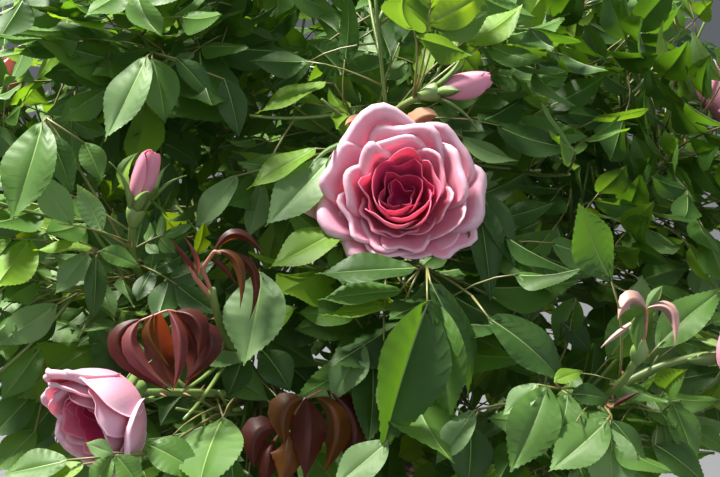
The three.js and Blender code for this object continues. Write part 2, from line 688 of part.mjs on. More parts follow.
// The container: tapered wall, shoulder ridge, recessed neck and rolled rim, with drain holes round the foot
function potSolid() {
  const shoulderTop = potHeight - rimHeight - neckHeight;
  const shoulderBase = shoulderTop - shoulderHeight;
  const neckRadius = potTopRadius - neckDepth;
  const profile = [
    [0, 0],
    [potFootRadius - 4, 0],
    [potFootRadius, 4],
    [wallRadius(shoulderBase), shoulderBase],
    [neckRadius + 2, shoulderBase + 1.5],
    [neckRadius + 2, shoulderTop - 1.5],
    [neckRadius - 1.5, shoulderTop],
    [neckRadius, potHeight - rimHeight],
    [potTopRadius, potHeight - rimHeight + 1],
    [potTopRadius, potHeight - 2],
    [potTopRadius - 2, potHeight],
    [neckRadius - potWall, potHeight],
    [neckRadius - potWall - 1.5, shoulderTop],
    [wallRadius(shoulderBase) - potWall, shoulderBase],
    [potFootRadius - potWall, potWall + 4],
    [potFootRadius - 6, potWall],
    [0, potWall],
  ];
  let pot = turnedUpright(profile, potSides);
  for (let i = 0; i < drainCount; i++) {
    const hole = new THREE.CylinderGeometry(drainRadius, drainRadius, 4 * potWall + 14, 8);
    hole.rotateZ(Math.PI / 2).translate(potFootRadius, 0, drainRadius + 6);
    hole.rotateZ(((i + 0.5) * 2 * Math.PI) / drainCount);
    pot = pot.subtract(solidOf(hole));
  }
  return pot;
}

// The potting mix, filling the container to a slightly crowned top
function soilSolid() {
  const inside = potWall + seatGap;
  const shoulderBase = potHeight - rimHeight - neckHeight - shoulderHeight;
  const topRadius = mix(wallRadius(shoulderBase), potTopRadius - neckDepth - 1.5, (soilTop - shoulderBase) / shoulderHeight / 2);
  const profile = [
    [0, inside],
    [potFootRadius - 7, inside],
    [potFootRadius - inside - 0.6, inside + 5],
    [wallRadius(shoulderBase) - inside - 0.6, shoulderBase],
    [Math.min(topRadius, potTopRadius - 2 * neckDepth) - inside - 0.6, soilTop],
    [unionRadius + unionFlare + 6, soilTop + soilCrown],
    [0, soilTop + soilCrown],
  ];
  return turnedUpright(profile, potSides);
}

function makeMaterial(color, roughness) {
  return new THREE.MeshStandardMaterial({ color, roughness, metalness: 0 });
}

const materials = {
  pot: makeMaterial(0x1c1f24, 0.45),
  soil: makeMaterial(0x2e221a, 0.95),
  wood: makeMaterial(0x6b5a3a, 0.8),
  cane: makeMaterial(0x5f7a34, 0.55),
  leaf: makeMaterial(0x3f6b2c, 0.5),
};

const bush = new THREE.Group();

function addPiece(name, solid, material) {
  const mesh = new THREE.Mesh(geometryOf(solid), material);
  mesh.name = name;
  bush.add(mesh);
}

shoots.forEach((row, i) => {
  row.seed = 4801 + 977 * i;
  row.curve = shootCurve(row);
});
shoots.forEach((row) => {
  row.axis = axisPoints(row);
  row.cane = lineOf(row.curve, 0, row.enter);
  row.taken = [];
  row.stems = [lineOf(row.curve, row.enter, 1)];
});
const allFlowers = [
  ...flowers.map((row) => {
    const own = shoots.find((s) => s.name === row.on);
    return placeFlower(row, own.curve.getPoint(1), own);
  }),
  ...placedTwigs.map((row) => placeFlower(row, vector(row.tip), shoots.find((s) => s.name === row.on))),
];

addPiece("nursery_pot", potSolid(), materials.pot);
addPiece("potting_soil", soilSolid(), materials.soil);
addPiece("bud_union", unionBlock(0), materials.wood);
for (const own of shoots) {
  addPiece("cane_" + own.name, caneSolid(own), materials.cane);
  addPiece("foliage_" + own.name, massSolid(own), materials.leaf);
}

export default bush;
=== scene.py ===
# Dresses the potted rose bush: leaves, stems, bark, blooms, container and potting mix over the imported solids.
# The bush grows in millimetres by the rule of its solids, and metre turns it into Blender's metres.
import json
import math

import bpy
import numpy as np
from mathutils import Matrix, Vector, noise

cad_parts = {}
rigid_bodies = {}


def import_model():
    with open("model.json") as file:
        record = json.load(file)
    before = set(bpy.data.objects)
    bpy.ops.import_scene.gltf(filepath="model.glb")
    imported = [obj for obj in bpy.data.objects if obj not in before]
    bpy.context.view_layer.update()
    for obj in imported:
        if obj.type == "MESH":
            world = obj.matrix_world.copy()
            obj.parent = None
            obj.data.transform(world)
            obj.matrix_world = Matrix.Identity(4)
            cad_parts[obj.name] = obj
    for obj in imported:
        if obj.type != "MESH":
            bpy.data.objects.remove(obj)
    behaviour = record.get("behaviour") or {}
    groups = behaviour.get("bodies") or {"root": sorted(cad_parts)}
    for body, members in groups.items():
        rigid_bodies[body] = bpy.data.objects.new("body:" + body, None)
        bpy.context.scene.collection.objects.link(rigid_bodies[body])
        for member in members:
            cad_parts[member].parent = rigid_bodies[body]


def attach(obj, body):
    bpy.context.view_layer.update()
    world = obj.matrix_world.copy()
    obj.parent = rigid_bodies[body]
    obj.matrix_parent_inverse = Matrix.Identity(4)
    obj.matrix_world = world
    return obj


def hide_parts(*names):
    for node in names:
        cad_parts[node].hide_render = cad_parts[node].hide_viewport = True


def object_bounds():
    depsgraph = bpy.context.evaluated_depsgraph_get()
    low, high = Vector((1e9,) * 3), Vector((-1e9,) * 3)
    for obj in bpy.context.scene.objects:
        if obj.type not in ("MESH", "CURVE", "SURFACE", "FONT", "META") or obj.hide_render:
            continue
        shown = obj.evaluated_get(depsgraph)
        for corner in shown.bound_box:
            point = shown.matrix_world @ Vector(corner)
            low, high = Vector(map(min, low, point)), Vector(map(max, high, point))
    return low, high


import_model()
cadLow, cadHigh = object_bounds()
metre = 0.001
scene = bpy.context.scene
scene.view_settings.view_transform = "Standard"

# The camera stands where the photograph was taken from
cameraSetup = {"place": (0, -1.058, 0.690), "pitch": -13, "width": 30, "sensor": 36, "picture": (720, 477)}


def makeCamera():
    data = bpy.data.cameras.new("camera")
    data.sensor_width = cameraSetup["sensor"]
    data.lens = cameraSetup["sensor"] / 2 / math.tan(math.radians(cameraSetup["width"] / 2))
    camera = bpy.data.objects.new("camera", data)
    camera.location = cameraSetup["place"]
    camera.rotation_euler = (math.radians(90 + cameraSetup["pitch"]), 0, 0)
    scene.collection.objects.link(camera)
    scene.camera = camera


makeCamera()
print("camera set")


# Small vector helpers
up = np.array([0.0, 0.0, 1.0])


def mix(a, b, share):
    return a + (b - a) * share


def unit(v):
    v = np.asarray(v, float)
    return v / np.linalg.norm(v)


def vector(numbers):
    return np.array(numbers, float)


def smooth(low, high, x):
    t = np.clip((np.asarray(x, float) - low) / (high - low), 0, 1)
    return t * t * (3 - 2 * t)


def turned(v, axis, angle):
    c, s = math.cos(angle), math.sin(angle)
    return v * c + np.cross(axis, v) * s + axis * np.dot(axis, v) * (1 - c)


# A way across a stem's heading
def sideways(heading, reference=(0.3, 0.5, 0.81)):
    return unit(np.cross(heading, reference))


def outward(point):
    level = np.array([point[0], point[1], 0.0])
    return np.array([0.0, -1.0, 0.0]) if np.linalg.norm(level) < 1 else unit(level)


# The turn of a form whose own axes come to lie along these three
def quaternion(*axes):
    return list(Matrix(np.array(axes).T.tolist()).to_quaternion())


def headingsAlong(points):
    headings = np.gradient(points, axis=0)
    return headings / np.linalg.norm(headings, axis=1)[:, None]


# Faces between rows of points
def quads(rows, columns, closed=False):
    faces = []
    for row in range(rows - 1):
        for k in range(columns if closed else columns - 1):
            a, b = row * columns + k, row * columns + (k + 1) % columns
            faces.append((a, b, b + columns, a + columns))
    return faces


def listed(columns, *rows):
    return [dict(zip(columns.split(), row)) for row in rows]


class Chance:
    def __init__(self, seed):
        self.state = seed

    def __call__(self, low=0.0, high=1.0):
        self.state = self.state * 16807 % 2147483647
        return mix(low, high, self.state / 2147483647)

    def turn(self):
        return 6.28 * self()


class Bezier:
    def __init__(self, *corners):
        self.corners = np.array(corners, float)

    def at(self, t):
        t = np.asarray(t, float)[..., None]
        n = len(self.corners) - 1
        return sum(math.comb(n, i) * (1 - t) ** (n - i) * t**i * self.corners[i] for i in range(n + 1))

    def heading(self, t):
        return unit(self.at(min(1, t + 1e-4)) - self.at(max(0, t - 1e-4)))

    def line(self, start, end, count=7):
        return self.at(np.linspace(start, end, count))

    def length(self, start, end):
        return np.linalg.norm(np.diff(self.line(start, end, 30), axis=0), axis=1).sum()


# The bush as its solids have it: shoots, what they end in, and what was placed on the front
shoots = listed(
    "name foot tip aim enter",
    ("front", 270, (25, -258, 524), (0.18, -0.5, 0.84), 0.5),
    ("front_right", 322, (154, -350, 462), (0.3, -0.05, 0.95), 0.52),
    ("front_left", 218, (-84, -322, 491), (-0.1, -0.15, 0.98), 0.55),
    ("left_bud", 180, (-134, -274, 524), (0.3, -0.1, 0.93), 0.5),
    ("tall_left", 140, (-160, -120, 735), (-0.3, 0.05, 0.93), 0.37),
    ("centre", 15, (50, 30, 700), (0.1, 0.1, 0.98), 0.37),
    ("back", 80, (10, 240, 590), (0, 0.5, 0.85), 0.4),
)
shoots += listed(
    "name parent at tip aim",
    ("low_left", "front_left", 0.36, (-128, -342, 436), (-0.9, -0.3, 0.1)),
    ("top_bud", "centre", 0.32, (44, -238, 592), (0.93, -0.2, 0.28)),
    ("left", "tall_left", 0.3, (-262, -40, 560), (-0.6, 0, 0.8)),
    ("right", "front_right", 0.3, (250, -90, 560), (0.6, -0.1, 0.8)),
    ("back_right", "centre", 0.22, (185, 160, 610), (0.5, 0.4, 0.8)),
    ("back_left", "tall_left", 0.2, (-165, 175, 620), (-0.4, 0.5, 0.8)),
    ("low_back", "back", 0.3, (80, 265, 430), (0.25, 0.9, 0.35)),
)
flowers = listed(
    "on kind face open size scale",
    ("front", "bloom", (-0.03, -0.81, 0.58), 1, "large"),
    ("low_left", "bloom", (-0.66, -0.68, -0.32), 0.55, "middle"),
    ("left_bud", "bud", (0.28, -0.1, 0.95), 0.06, None, 0.98),
    ("top_bud", "bud", (0.96, -0.1, 0.25), 0.14, None, 0.88),
    ("front_right", "hip", (0.2, -0.2, 0.95), 0),
    ("tall_left", "bud", (-0.2, 0, 0.98), 0.1),
    ("centre", "bud", (0.15, 0.05, 0.98), 0.15),
    ("back", "bloom", (0, 0.75, 0.65), 0.9, "middle"),
    ("left", "bloom", (-0.8, -0.05, 0.6), 0.8, "middle"),
    ("right", "bloom", (0.75, 0.1, 0.65), 0.6, "small"),
    ("back_left", "bloom", (-0.5, 0.6, 0.65), 0.7, "small"),
    ("back_right", "bud", (0.4, 0.4, 0.8), 0.2),
)
placedTwigs = listed(
    "on at tip kind face open size",
    ("front_right", 0.84, (204, -332, 455), "bloom", (0.75, -0.6, 0.2), 0.5, "small"),
)
# Each placed leaf names a tint for the light it is in: dark for painted shade, pale for a painted sunlit top,
# bright for painted backlight.
placedLeaves = listed(
    "on at tip light tint bare",
    ("front", 0.9, (18, -373, 413), (-0.25, -0.9, 0.3), "dark", True),
    ("front", 0.86, (73, -345, 440), (0.5, -0.5, 0.7), "dark", True),
    ("front", 0.72, (-44, -318, 484), (0, -0.25, 0.95), "bright"),
    ("front", 0.8, (123, -334, 448), (0.2, -0.5, 0.85), "middle", True),
    ("front_right", 0.86, (131, -405, 392), (0, -0.8, 0.6), "middle", True),
    ("front_right", 0.78, (82, -378, 402), (-0.2, -0.7, 0.65), "middle", True),
    ("front_right", 0.72, (205, -390, 420), (0.2, -0.6, 0.75), "middle"),
    ("front_left", 0.66, (-66, -348, 446), (0.15, -0.75, 0.6), "pale", True),
    ("front_left", 0.72, (-24, -352, 404), (0.1, -0.5, 0.8), "young"),
    ("front_left", 0.62, (-106, -366, 446), (-0.1, -0.8, 0.5), "young"),
    ("low_left", 0.62, (-82, -404, 408), (0, -0.6, 0.8), "middle"),
    ("low_left", 0.55, (-192, -318, 372), (-0.3, -0.4, 0.85), "middle"),
    ("left_bud", 0.8, (-182, -305, 480), (-0.1, -0.75, 0.6), "pale", True),
    ("left_bud", 0.86, (-86, -300, 470), (0.1, -0.8, 0.6), "dark"),
    ("left_bud", 0.92, (-208, -316, 528), (-0.2, -0.8, 0.6), "pale", True),
    ("top_bud", 0.62, (-70, -262, 536), (-0.1, -0.35, 0.9), "bright", True),
    ("top_bud", 0.7, (-57, -282, 512), (-0.1, -0.7, 0.65), "middle", True),
    ("top_bud", 0.78, (-66, -221, 583), (-0.1, -0.3, 0.9), "bright", True),
    ("tall_left", 0.66, (-154, -265, 570), (0, -0.9, 0.4), "middle", True),
    ("tall_left", 0.7, (-92, -243, 585), (0.2, -0.9, 0.4), "dark"),
)
# Further leaves of the front, too many for the solids
# Their tints paint light the same way, and the dark ones set low behind the front leaves are painted shade.
photoLeaves = listed(
    "on at tip light tint",
    ("front", 0.84, (-54, -301, 502), (-0.1, -0.7, 0.7), "middle"),
    ("front", 0.82, (48, -359, 426), (0.1, -0.8, 0.5), "dark"),
    ("front", 0.8, (84, -325, 487), (0.5, -0.6, 0.5), "dark"),
    ("front", 0.76, (-7, -310, 425), (0.1, -0.6, 0.8), "middle"),
    ("front", 0.74, (41, -365, 404), (0, -0.8, 0.5), "middle"),
    ("front_right", 0.82, (102, -402, 418), (-0.2, -0.8, 0.6), "middle"),
    ("front_left", 0.78, (-38, -307, 474), (0.2, -0.5, 0.8), "bright"),
    ("front", 0.62, (-45, -305, 427), (-0.1, -0.7, 0.7), "dark"),
    ("front", 0.68, (-42, -261, 451), (0, -0.7, 0.7), "dark"),
    ("front", 0.72, (-76, -267, 469), (0, -0.7, 0.7), "dark"),
    ("low_left", 0.42, (-192, -322, 412), (-0.1, -0.7, 0.7), "dark"),
    ("left_bud", 0.62, (-202, -299, 419), (-0.1, -0.7, 0.7), "middle"),
    ("left_bud", 0.9, (-103, -262, 512), (0.1, -0.7, 0.7), "middle"),
)


def spray(on, at, past, *leaflets):
    return {"on": on, "at": at, "past": past, "leaflets": listed("foot tip light tint plump form", *leaflets)}


# Single leaflets of the front: foot and tip as seen from the camera, across and down in picture points and
# then the depth in millimetres. Each group's stalk leaves its shoot at a share of the curve, by way of past.
# Each leaflet's tint paints the light it is in: dark is painted shade, such as the bloom's shadow on the
# leaflets below it, pale a painted sunlit top, bright painted backlight.
frontSprays = [
    spray("front", 0.8, (427, 268, 782),
          ((428, 300, 757), (393, 452, 732), (0.4, -0.9, 0.12), "dark", 0.86, "folded"),
          ((434, 302, 762), (446, 422, 747), (-0.35, -0.6, 0.7), "middle", 0.78),
          ((430, 283, 767), (492, 384, 752), (0.35, -0.6, 0.7), "dark", 0.72, "bent")),
    spray("front", 0.78, (419, 270, 784),
          ((416, 268, 776), (315, 266, 768), (0.25, -0.4, 0.85), "dark", 0.8),
          ((402, 290, 780), (318, 293, 768), (0, -0.4, 0.9), "middle", 0.8),
          ((404, 306, 778), (322, 309, 768), (0, -0.25, 0.97), "bright", 0.7)),
    spray("front", 0.84, (472, 296, 780),
          ((488, 318, 762), (577, 368, 745), (0.15, -0.7, 0.68), "dark", 0.9, "bent")),
    spray("front", 0.8, (466, 205, 822),
          ((475, 193, 806), (494, 297, 788), (0.3, -0.85, 0.4), "dark", 0.6),
          ((478, 189, 810), (518, 262, 794), (0.4, -0.75, 0.5), "dark", 0.7)),
    spray("front", 0.7, (368, 336, 800),
          ((355, 316, 788), (297, 308, 780), (0, -0.5, 0.87), "middle", 1.15),
          ((364, 344, 775), (330, 393, 760), (-0.2, -0.55, 0.8), "pale", 1.2, "bent"),
          ((372, 350, 778), (370, 442, 757), (0.2, -0.9, 0.25), "dark", 0.85),
          ((388, 441, 744), (330, 484, 730), (0, -0.55, 0.8), "pale", 1.0)),
    spray("front_right", 0.78, (480, 409, 762),
          ((474, 410, 752), (433, 462, 737), (-0.3, -0.6, 0.75), "pale", 0.85),
          ((470, 424, 758), (467, 490, 745), (0.1, -0.9, 0.35), "dark", 1.2)),
    spray("front_right", 0.82, (560, 389, 752),
          ((548, 385, 742), (511, 470, 724), (0.05, -0.8, 0.6), "middle", 0.98),
          ((538, 384, 746), (501, 413, 741), (-0.1, -0.5, 0.85), "pale", 1.1),
          ((554, 382, 750), (583, 369, 756), (0, -0.45, 0.89), "bright", 1.0),
          ((568, 393, 744), (553, 456, 729), (-0.1, -0.75, 0.65), "middle", 1.1),
          ((571, 394, 750), (612, 398, 752), (0.1, -0.6, 0.8), "dark", 1.1)),
    spray("front_right", 0.8, (611, 415, 740),
          ((608, 420, 734), (548, 467, 719), (-0.1, -0.6, 0.8), "middle", 1.1),
          ((605, 425, 733), (613, 505, 710), (0, -0.65, 0.76), "pale", 1.1),
          ((611, 419, 737), (648, 463, 724), (0.4, -0.7, 0.5), "dark", 0.75)),
    spray("front_right", 0.84, (658, 414, 772),
          ((672, 402, 765), (697, 465, 750), (0.2, -0.75, 0.6), "middle", 0.9),
          ((662, 420, 768), (668, 472, 756), (-0.1, -0.6, 0.8), "pale", 0.95),
          ((690, 428, 774), (730, 452, 766), (0.1, -0.5, 0.85), "middle", 1.1),
          ((654, 444, 754), (708, 482, 742), (0.1, -0.6, 0.8), "dark", 1.1)),
    spray("front_right", 0.66, (566, 348, 848),
          ((576, 298, 860), (554, 342, 850), (-0.1, -0.7, 0.7), "middle", 1.1),
          ((562, 322, 854), (592, 352, 846), (0.1, -0.7, 0.7), "dark", 1.1)),
    spray("front_right", 0.9, (650, 356, 766),
          ((656, 348, 762), (724, 284, 776), (-0.35, -0.7, 0.6), "middle", 0.75)),
    spray("front_left", 0.84, (256, 270, 780),
          ((262, 272, 770), (240, 362, 746), (-0.15, -0.55, 0.8), "pale", 1.2)),
    spray("front_left", 0.6, (266, 352, 862),
          ((260, 336, 852), (316, 364, 846), (0, -0.7, 0.7), "middle", 1.2),
          ((280, 360, 858), (324, 398, 850), (0.1, -0.7, 0.7), "dark", 1.2)),
    spray("front_left", 0.66, (222, 364, 842),
          ((212, 362, 838), (244, 402, 832), (0, -0.7, 0.7), "dark", 1.25)),
    spray("low_left", 0.5, (266, 404, 856),
          ((286, 396, 856), (236, 416, 848), (0, -0.7, 0.7), "middle", 1.15),
          ((276, 408, 850), (244, 436, 842), (0, -0.6, 0.8), "dark", 1.2)),
    spray("low_left", 0.5, (160, 452, 728),
          ((146, 444, 720), (203, 474, 714), (0, -0.5, 0.87), "middle", 1.15),
          ((113, 453, 706), (86, 441, 703), (0, -0.6, 0.8), "pale", 1.25),
          ((111, 455, 706), (88, 490, 700), (-0.1, -0.6, 0.8), "middle", 1.2),
          ((115, 455, 706), (140, 488, 700), (0.1, -0.6, 0.8), "middle", 1.2),
          ((84, 464, 712), (34, 482, 706), (0, -0.45, 0.9), "bright", 1.0),
          ((68, 460, 710), (0, 470, 706), (0, -0.5, 0.87), "middle", 1.15)),
    spray("low_left", 0.4, (240, 350, 812),
          ((244, 352, 806), (226, 396, 796), (-0.1, -0.8, 0.6), "dark", 1.2),
          ((262, 350, 810), (290, 390, 800), (0.1, -0.7, 0.7), "dark", 1.3),
          ((222, 374, 806), (268, 398, 800), (0, -0.6, 0.8), "middle", 1.2)),
    spray("low_left", 0.3, (48, 372, 815),
          ((40, 348, 800), (-2, 398, 782), (-0.1, -0.7, 0.7), "middle", 1.1),
          ((34, 392, 800), (-14, 436, 786), (-0.1, -0.7, 0.7), "dark", 1.2),
          ((58, 400, 806), (14, 446, 796), (-0.1, -0.7, 0.7), "dark", 1.2),
          ((36, 430, 795), (-10, 470, 784), (-0.1, -0.6, 0.8), "middle", 1.2)),
    spray("left_bud", 0.86, (97, 254, 800),
          ((88, 252, 790), (52, 292, 780), (-0.1, -0.6, 0.8), "pale", 1.05),
          ((92, 248, 792), (33, 245, 786), (-0.1, -0.25, 0.95), "bright", 0.85),
          ((99, 251, 794), (141, 265, 800), (0.1, -0.6, 0.8), "middle", 1.0),
          ((96, 256, 792), (92, 322, 784), (0.2, -0.9, 0.4), "dark", 0.6)),
    spray("left_bud", 0.8, (46, 118, 812),
          ((43, 121, 792), (7, 218, 764), (-0.1, -0.85, 0.5), "middle", 0.9),
          ((47, 131, 802), (73, 193, 796), (0.3, -0.8, 0.5), "dark", 0.75),
          ((84, 142, 817), (101, 180, 812), (0, -0.6, 0.8), "middle", 1.1)),
    spray("tall_left", 0.62, (152, 52, 836),
          ((147, 56, 824), (101, 136, 800), (-0.1, -0.7, 0.7), "pale", 0.8),
          ((152, 58, 824), (164, 121, 813), (0, -0.8, 0.6), "middle", 1.05),
          ((176, 58, 828), (215, 99, 823), (0.3, -0.7, 0.6), "dark", 0.8),
          ((224, 78, 832), (239, 136, 825), (0.1, -0.85, 0.5), "dark", 0.85)),
    spray("top_bud", 0.66, (334, 84, 862),
          ((326, 82, 852), (254, 107, 839), (-0.1, -0.35, 0.93), "bright", 0.85)),
    spray("top_bud", 0.62, (336, 150, 838),
          ((316, 148, 830), (244, 183, 811), (-0.1, -0.35, 0.93), "bright", 0.85),
          ((330, 158, 820), (263, 221, 798), (-0.1, -0.7, 0.7), "pale", 0.95),
          ((343, 228, 802), (267, 262, 786), (-0.05, -0.5, 0.85), "bright", 1.0),
          ((237, 175, 826), (190, 227, 812), (-0.2, -0.6, 0.8), "pale", 0.85)),
]
# Young folded leaves: foot, tip and the spot that the curve passes between them, half width and tint
# Among them, pale and middle are the green leaf tints, pale being a painted sunlit top; the others are these
# leaves' own colours.
youngLeaves = listed(
    "foot tip past half tint",
    ((-123, -339, 478), (-104, -351, 439), (-133, -349, 463), 6.0, "burgundy"),
    ((-122, -342, 478), (-103, -358, 443), (-124, -356, 464), 6.0, "mauve"),
    ((-114, -338, 482), (-105, -351, 454), (-116, -347, 470), 5.0, "russet"),
    ((-107, -340, 484), (-103, -358, 442), (-98, -356, 468), 5.0, "mauve"),
    ((-104, -338, 482), (-90, -350, 458), (-89, -346, 477), 6.5, "burgundy"),
    ((-95, -336, 476), (-99, -347, 443), (-83, -343, 464), 7.0, "burgundy"),
    ((-113, -334, 481), (-103, -344, 439), (-113, -335, 458), 9.0, "burgundy"),
    ((-104, -334, 481), (-98, -346, 440), (-92, -337, 461), 9.0, "burgundy"),
    ((-93, -323, 496), (-108, -320, 520), (-97, -323, 507), 2.0, "burgundy"),
    ((-92, -323, 498), (-99, -321, 521), (-92, -324, 509), 1.6, "mauve"),
    ((-82, -323, 513), (-54, -327, 512), (-69, -323, 523), 3.6, "burgundy"),
    ((-82, -323, 513), (-67, -336, 483), (-68, -330, 507), 3.6, "russet"),
    ((-81, -323, 512), (-62, -336, 476), (-60, -328, 503), 3.6, "burgundy"),
    ((-85, -323, 508), (-68, -330, 493), (-77, -327, 505), 2.2, "burgundy"),
    ((-19, -327, 432), (-12, -347, 389), (-3, -337, 413), 11.0, "burgundy"),
    ((-26, -330, 429), (-20, -354, 393), (-13, -345, 419), 12.5, "russet"),
    ((-31, -331, 429), (-31, -357, 390), (-29, -349, 415), 11.0, "burgundy"),
    ((-32, -330, 428), (-42, -345, 406), (-43, -338, 423), 10.5, "russet"),
    ((-45, -334, 411), (-60, -345, 392), (-59, -340, 410), 9.5, "burgundy"),
    ((-43, -336, 411), (-45, -357, 384), (-40, -351, 404), 11.0, "russet"),
    ((-49, -336, 405), (-54, -351, 382), (-52, -346, 398), 8.5, "burgundy"),
    ((-136, -270, 536), (-130, -280, 562), (-140, -276, 550), 4.0, "pale"),
    ((-128, -280, 537), (-117, -290, 545), (-122, -286, 538), 2.6, "middle"),
    ((-126, -278, 535), (-112, -288, 524), (-118, -284, 530), 1.2, "middle"),
    ((157, -349, 487), (140, -357, 483), (147, -353, 493), 5.5, "blush"),
    ((157, -349, 487), (171, -360, 469), (169, -355, 487), 4.6, "blush"),
    ((157, -350, 484), (131, -358, 467), (142, -354, 475), 1.8, "blush"),
    ((157, -350, 484), (150, -362, 466), (151, -358, 479), 5.5, "middle"),
    ((157, -348, 486), (165, -350, 500), (161, -349, 494), 3.4, "pale"),
    ((139, -356, 432), (154, -358, 442), (145, -359, 438), 1.8, "burgundy"),
    ((20, -240, 560), (47, -250, 579), (36, -246, 577), 7.0, "dried"),
    ((14, -240, 562), (-9, -250, 574), (0, -246, 574), 6.0, "dried"),
    ((7, -240, 560), (-30, -282, 553), (-14, -262, 563), 2.0, "pale"),
)
# Their stalks, from a share of a shoot's curve through the spots named
youngStalks = listed(
    "on at past radius",
    ("front_left", 0.86, ((-95, -335, 479), (-107, -338, 483), (-123, -340, 477)), 0.9),
    ("front_left", 0.98, ((-89, -323, 503), (-82, -323, 513), (-78, -324, 512)), 1.5),
    ("front_left", 0.97, ((-91, -322, 494), (-93, -323, 497), (-96, -322, 504)), 1.7),
    ("front_left", 0.6, ((-56, -334, 393), (-44, -332, 411), (-31, -330, 428), (-22, -327, 432)), 0.9),
    ("front_right", 0.84, ((139, -356, 432), (141, -356, 434)), 0.9),
    ("front_right", 1.0, ((156, -352, 473), (157, -350, 480), (157, -349, 487)), 1.4),
)
bushRule = {
    "unionTop": 243, "footCircle": 13, "footRise": 120, "forkRise": 60, "tipReach": 85, "forkEnter": 0.3,
    "footRadius": 6.2, "forkRadius": 4.4, "tipRadius": 2.2, "firstSeed": 4801, "seedStep": 977,
    "crownMiddle": np.array([0.0, -50.0, 490.0]), "crownRadii": np.array([345.0, 372.0, 285.0]),
    "bloomClear": 10, "pastBox": 2,
}
reachLow = np.array(cadLow) / metre - bushRule["pastBox"]
reachHigh = np.array(cadHigh) / metre + bushRule["pastBox"]
leafRule = {
    "every": 42, "length": 142, "end": 0.42, "pairs": ((0.5, 0.37), (0.27, 0.31)), "sideAngle": 1.13,
    "width": 0.56, "widest": 0.45, "arch": 0.12, "droop": 0.5, "turnTries": (0, 2.1, -2.1, 1.05, -1.05),
    "goldenTurn": math.radians(137.508), "first": 0.7, "lengths": (0.82, 1.12), "sinks": (0.1, 0.75),
    "rolls": (-0.5, 0.5), "ahead": 0.45, "outward": 0.35, "lightUp": 0.8, "lightOut": 0.6, "stemEnd": 0.97,
}
twigRule = {"ahead": 0.7, "bend": 0.5, "rise": 0.15, "tested": np.array([0.5, 0.75, 1]), "stemEnd": 0.9}
guard = {
    "leaf": 22, "young": 9, "flower": 1.0, "stem": 4, "spray": 0.24, "front": -200, "near": 6, "reach": 190,
}
# How closely leaves and twigs may lie: those placed one by one, the solids' growth and the finer growth after
# it
heroGrowth = {"apart": 4.5, "stemApart": 2, "cell": -60, "limb": 5}
solidGrowth = {
    "twigs": 2, "length": 92, "leaves": 3, "size": 0.85, "apart": 12.5, "stemApart": 8, "cell": 4, "limb": 12,
    "lengths": (0.75, 1.15), "along": (0.15, 1.02), "draws": 4,
}
finerGrowth = listed(
    "from stemLeaves twigs length leaves size apart stemApart cell limb",
    (1.0, 9, 6, 78, 4, 0.8, 8, 4, 1, 8),
    (0.5, 12, 16, 70, 4, 0.7, 6, 3, 0, 7),
    (0.35, 18, 40, 62, 4, 0.6, 4.5, 3, -5, 6),
)
# Where on shoots and twigs the finer growth leaves, and how long it gets
finerRule = {
    "seed": 31, "stemWeight": 3, "stemAlong": (0.03, 0.95), "twigAlong": (0.15, 0.95), "stemSize": 1.1,
    "lengths": (0.6, 1.15), "along": (0.12, 1.0),
}
flowerSizes = {"large": 47, "middle": 38, "small": 31, "bud": 34, "hip": 6}


def shootCurve(shoot):
    tip = vector(shoot["tip"])
    if "parent" in shoot:
        parent = shootNamed[shoot["parent"]]["curve"]
        foot = parent.at(shoot["at"])
        rise = unit(parent.heading(shoot["at"]) * 0.5 + unit(tip - foot)) * bushRule["forkRise"]
    else:
        bearing = math.radians(shoot["foot"])
        out = np.array([math.cos(bearing), math.sin(bearing), 0.0])
        foot = out * bushRule["footCircle"] + up * bushRule["unionTop"]
        rise = unit(out * 0.5 + up) * bushRule["footRise"]
    return Bezier(foot, foot + rise, tip - unit(shoot["aim"]) * bushRule["tipReach"], tip)


def shootRadius(shoot, t):
    start = bushRule["forkRadius"] if "parent" in shoot else bushRule["footRadius"]
    return mix(start, bushRule["tipRadius"], np.sqrt(t))


# Where a row of a table leaves its shoot's curve
def baseOf(row):
    return shootNamed[row["on"]]["curve"].at(row.get("at", 1))


def axisPoints(shoot):
    points = [shoot["curve"].line(shoot["enter"], 1)]
    for rows, shares in ((placedTwigs, (0.33, 0.66, 1)), (placedLeaves, (0.3, 0.55, 0.8, 1))):
        for row in rows:
            if row["on"] == shoot["name"]:
                points.append([mix(baseOf(row), vector(row["tip"]), share) for share in shares])
    return np.concatenate(points)


def segmentsOf(lines):
    return np.concatenate([line[:-1] for line in lines]), np.concatenate([line[1:] for line in lines])


def fromSegments(points, segments):
    starts, run = segments[0], segments[1] - segments[0]
    ahead = points[:, None] - starts
    share = np.clip((ahead * run).sum(2) / (run * run).sum(1), 0, 1)
    return np.linalg.norm(ahead - share[..., None] * run, axis=2).min(1)


def placeFlower(row, base):
    face = unit(row["face"])
    across = unit(np.cross(face, (0.2, 0.3, 0.93)))
    bud, hip = flowerSizes["bud"], flowerSizes["hip"]
    radius = {"bloom": flowerSizes.get(row.get("size")), "bud": bud * 0.4, "hip": hip}[row["kind"]]
    radius *= row.get("scale", 1)
    depth = {"bloom": radius * 0.55, "bud": bud * 0.5, "hip": hip}[row["kind"]]
    middle = base + face * depth
    return {**row, "base": base, "face": face, "across": across, "beside": unit(np.cross(face, across)),
            "radius": radius, "middle": middle, "view": 3 if row.get("size") == "large" else 1.5,
            "hip": hip if row["kind"] == "bloom" else hip * 0.8,
            "where": "front" if middle[1] < guard["front"] else "around"}


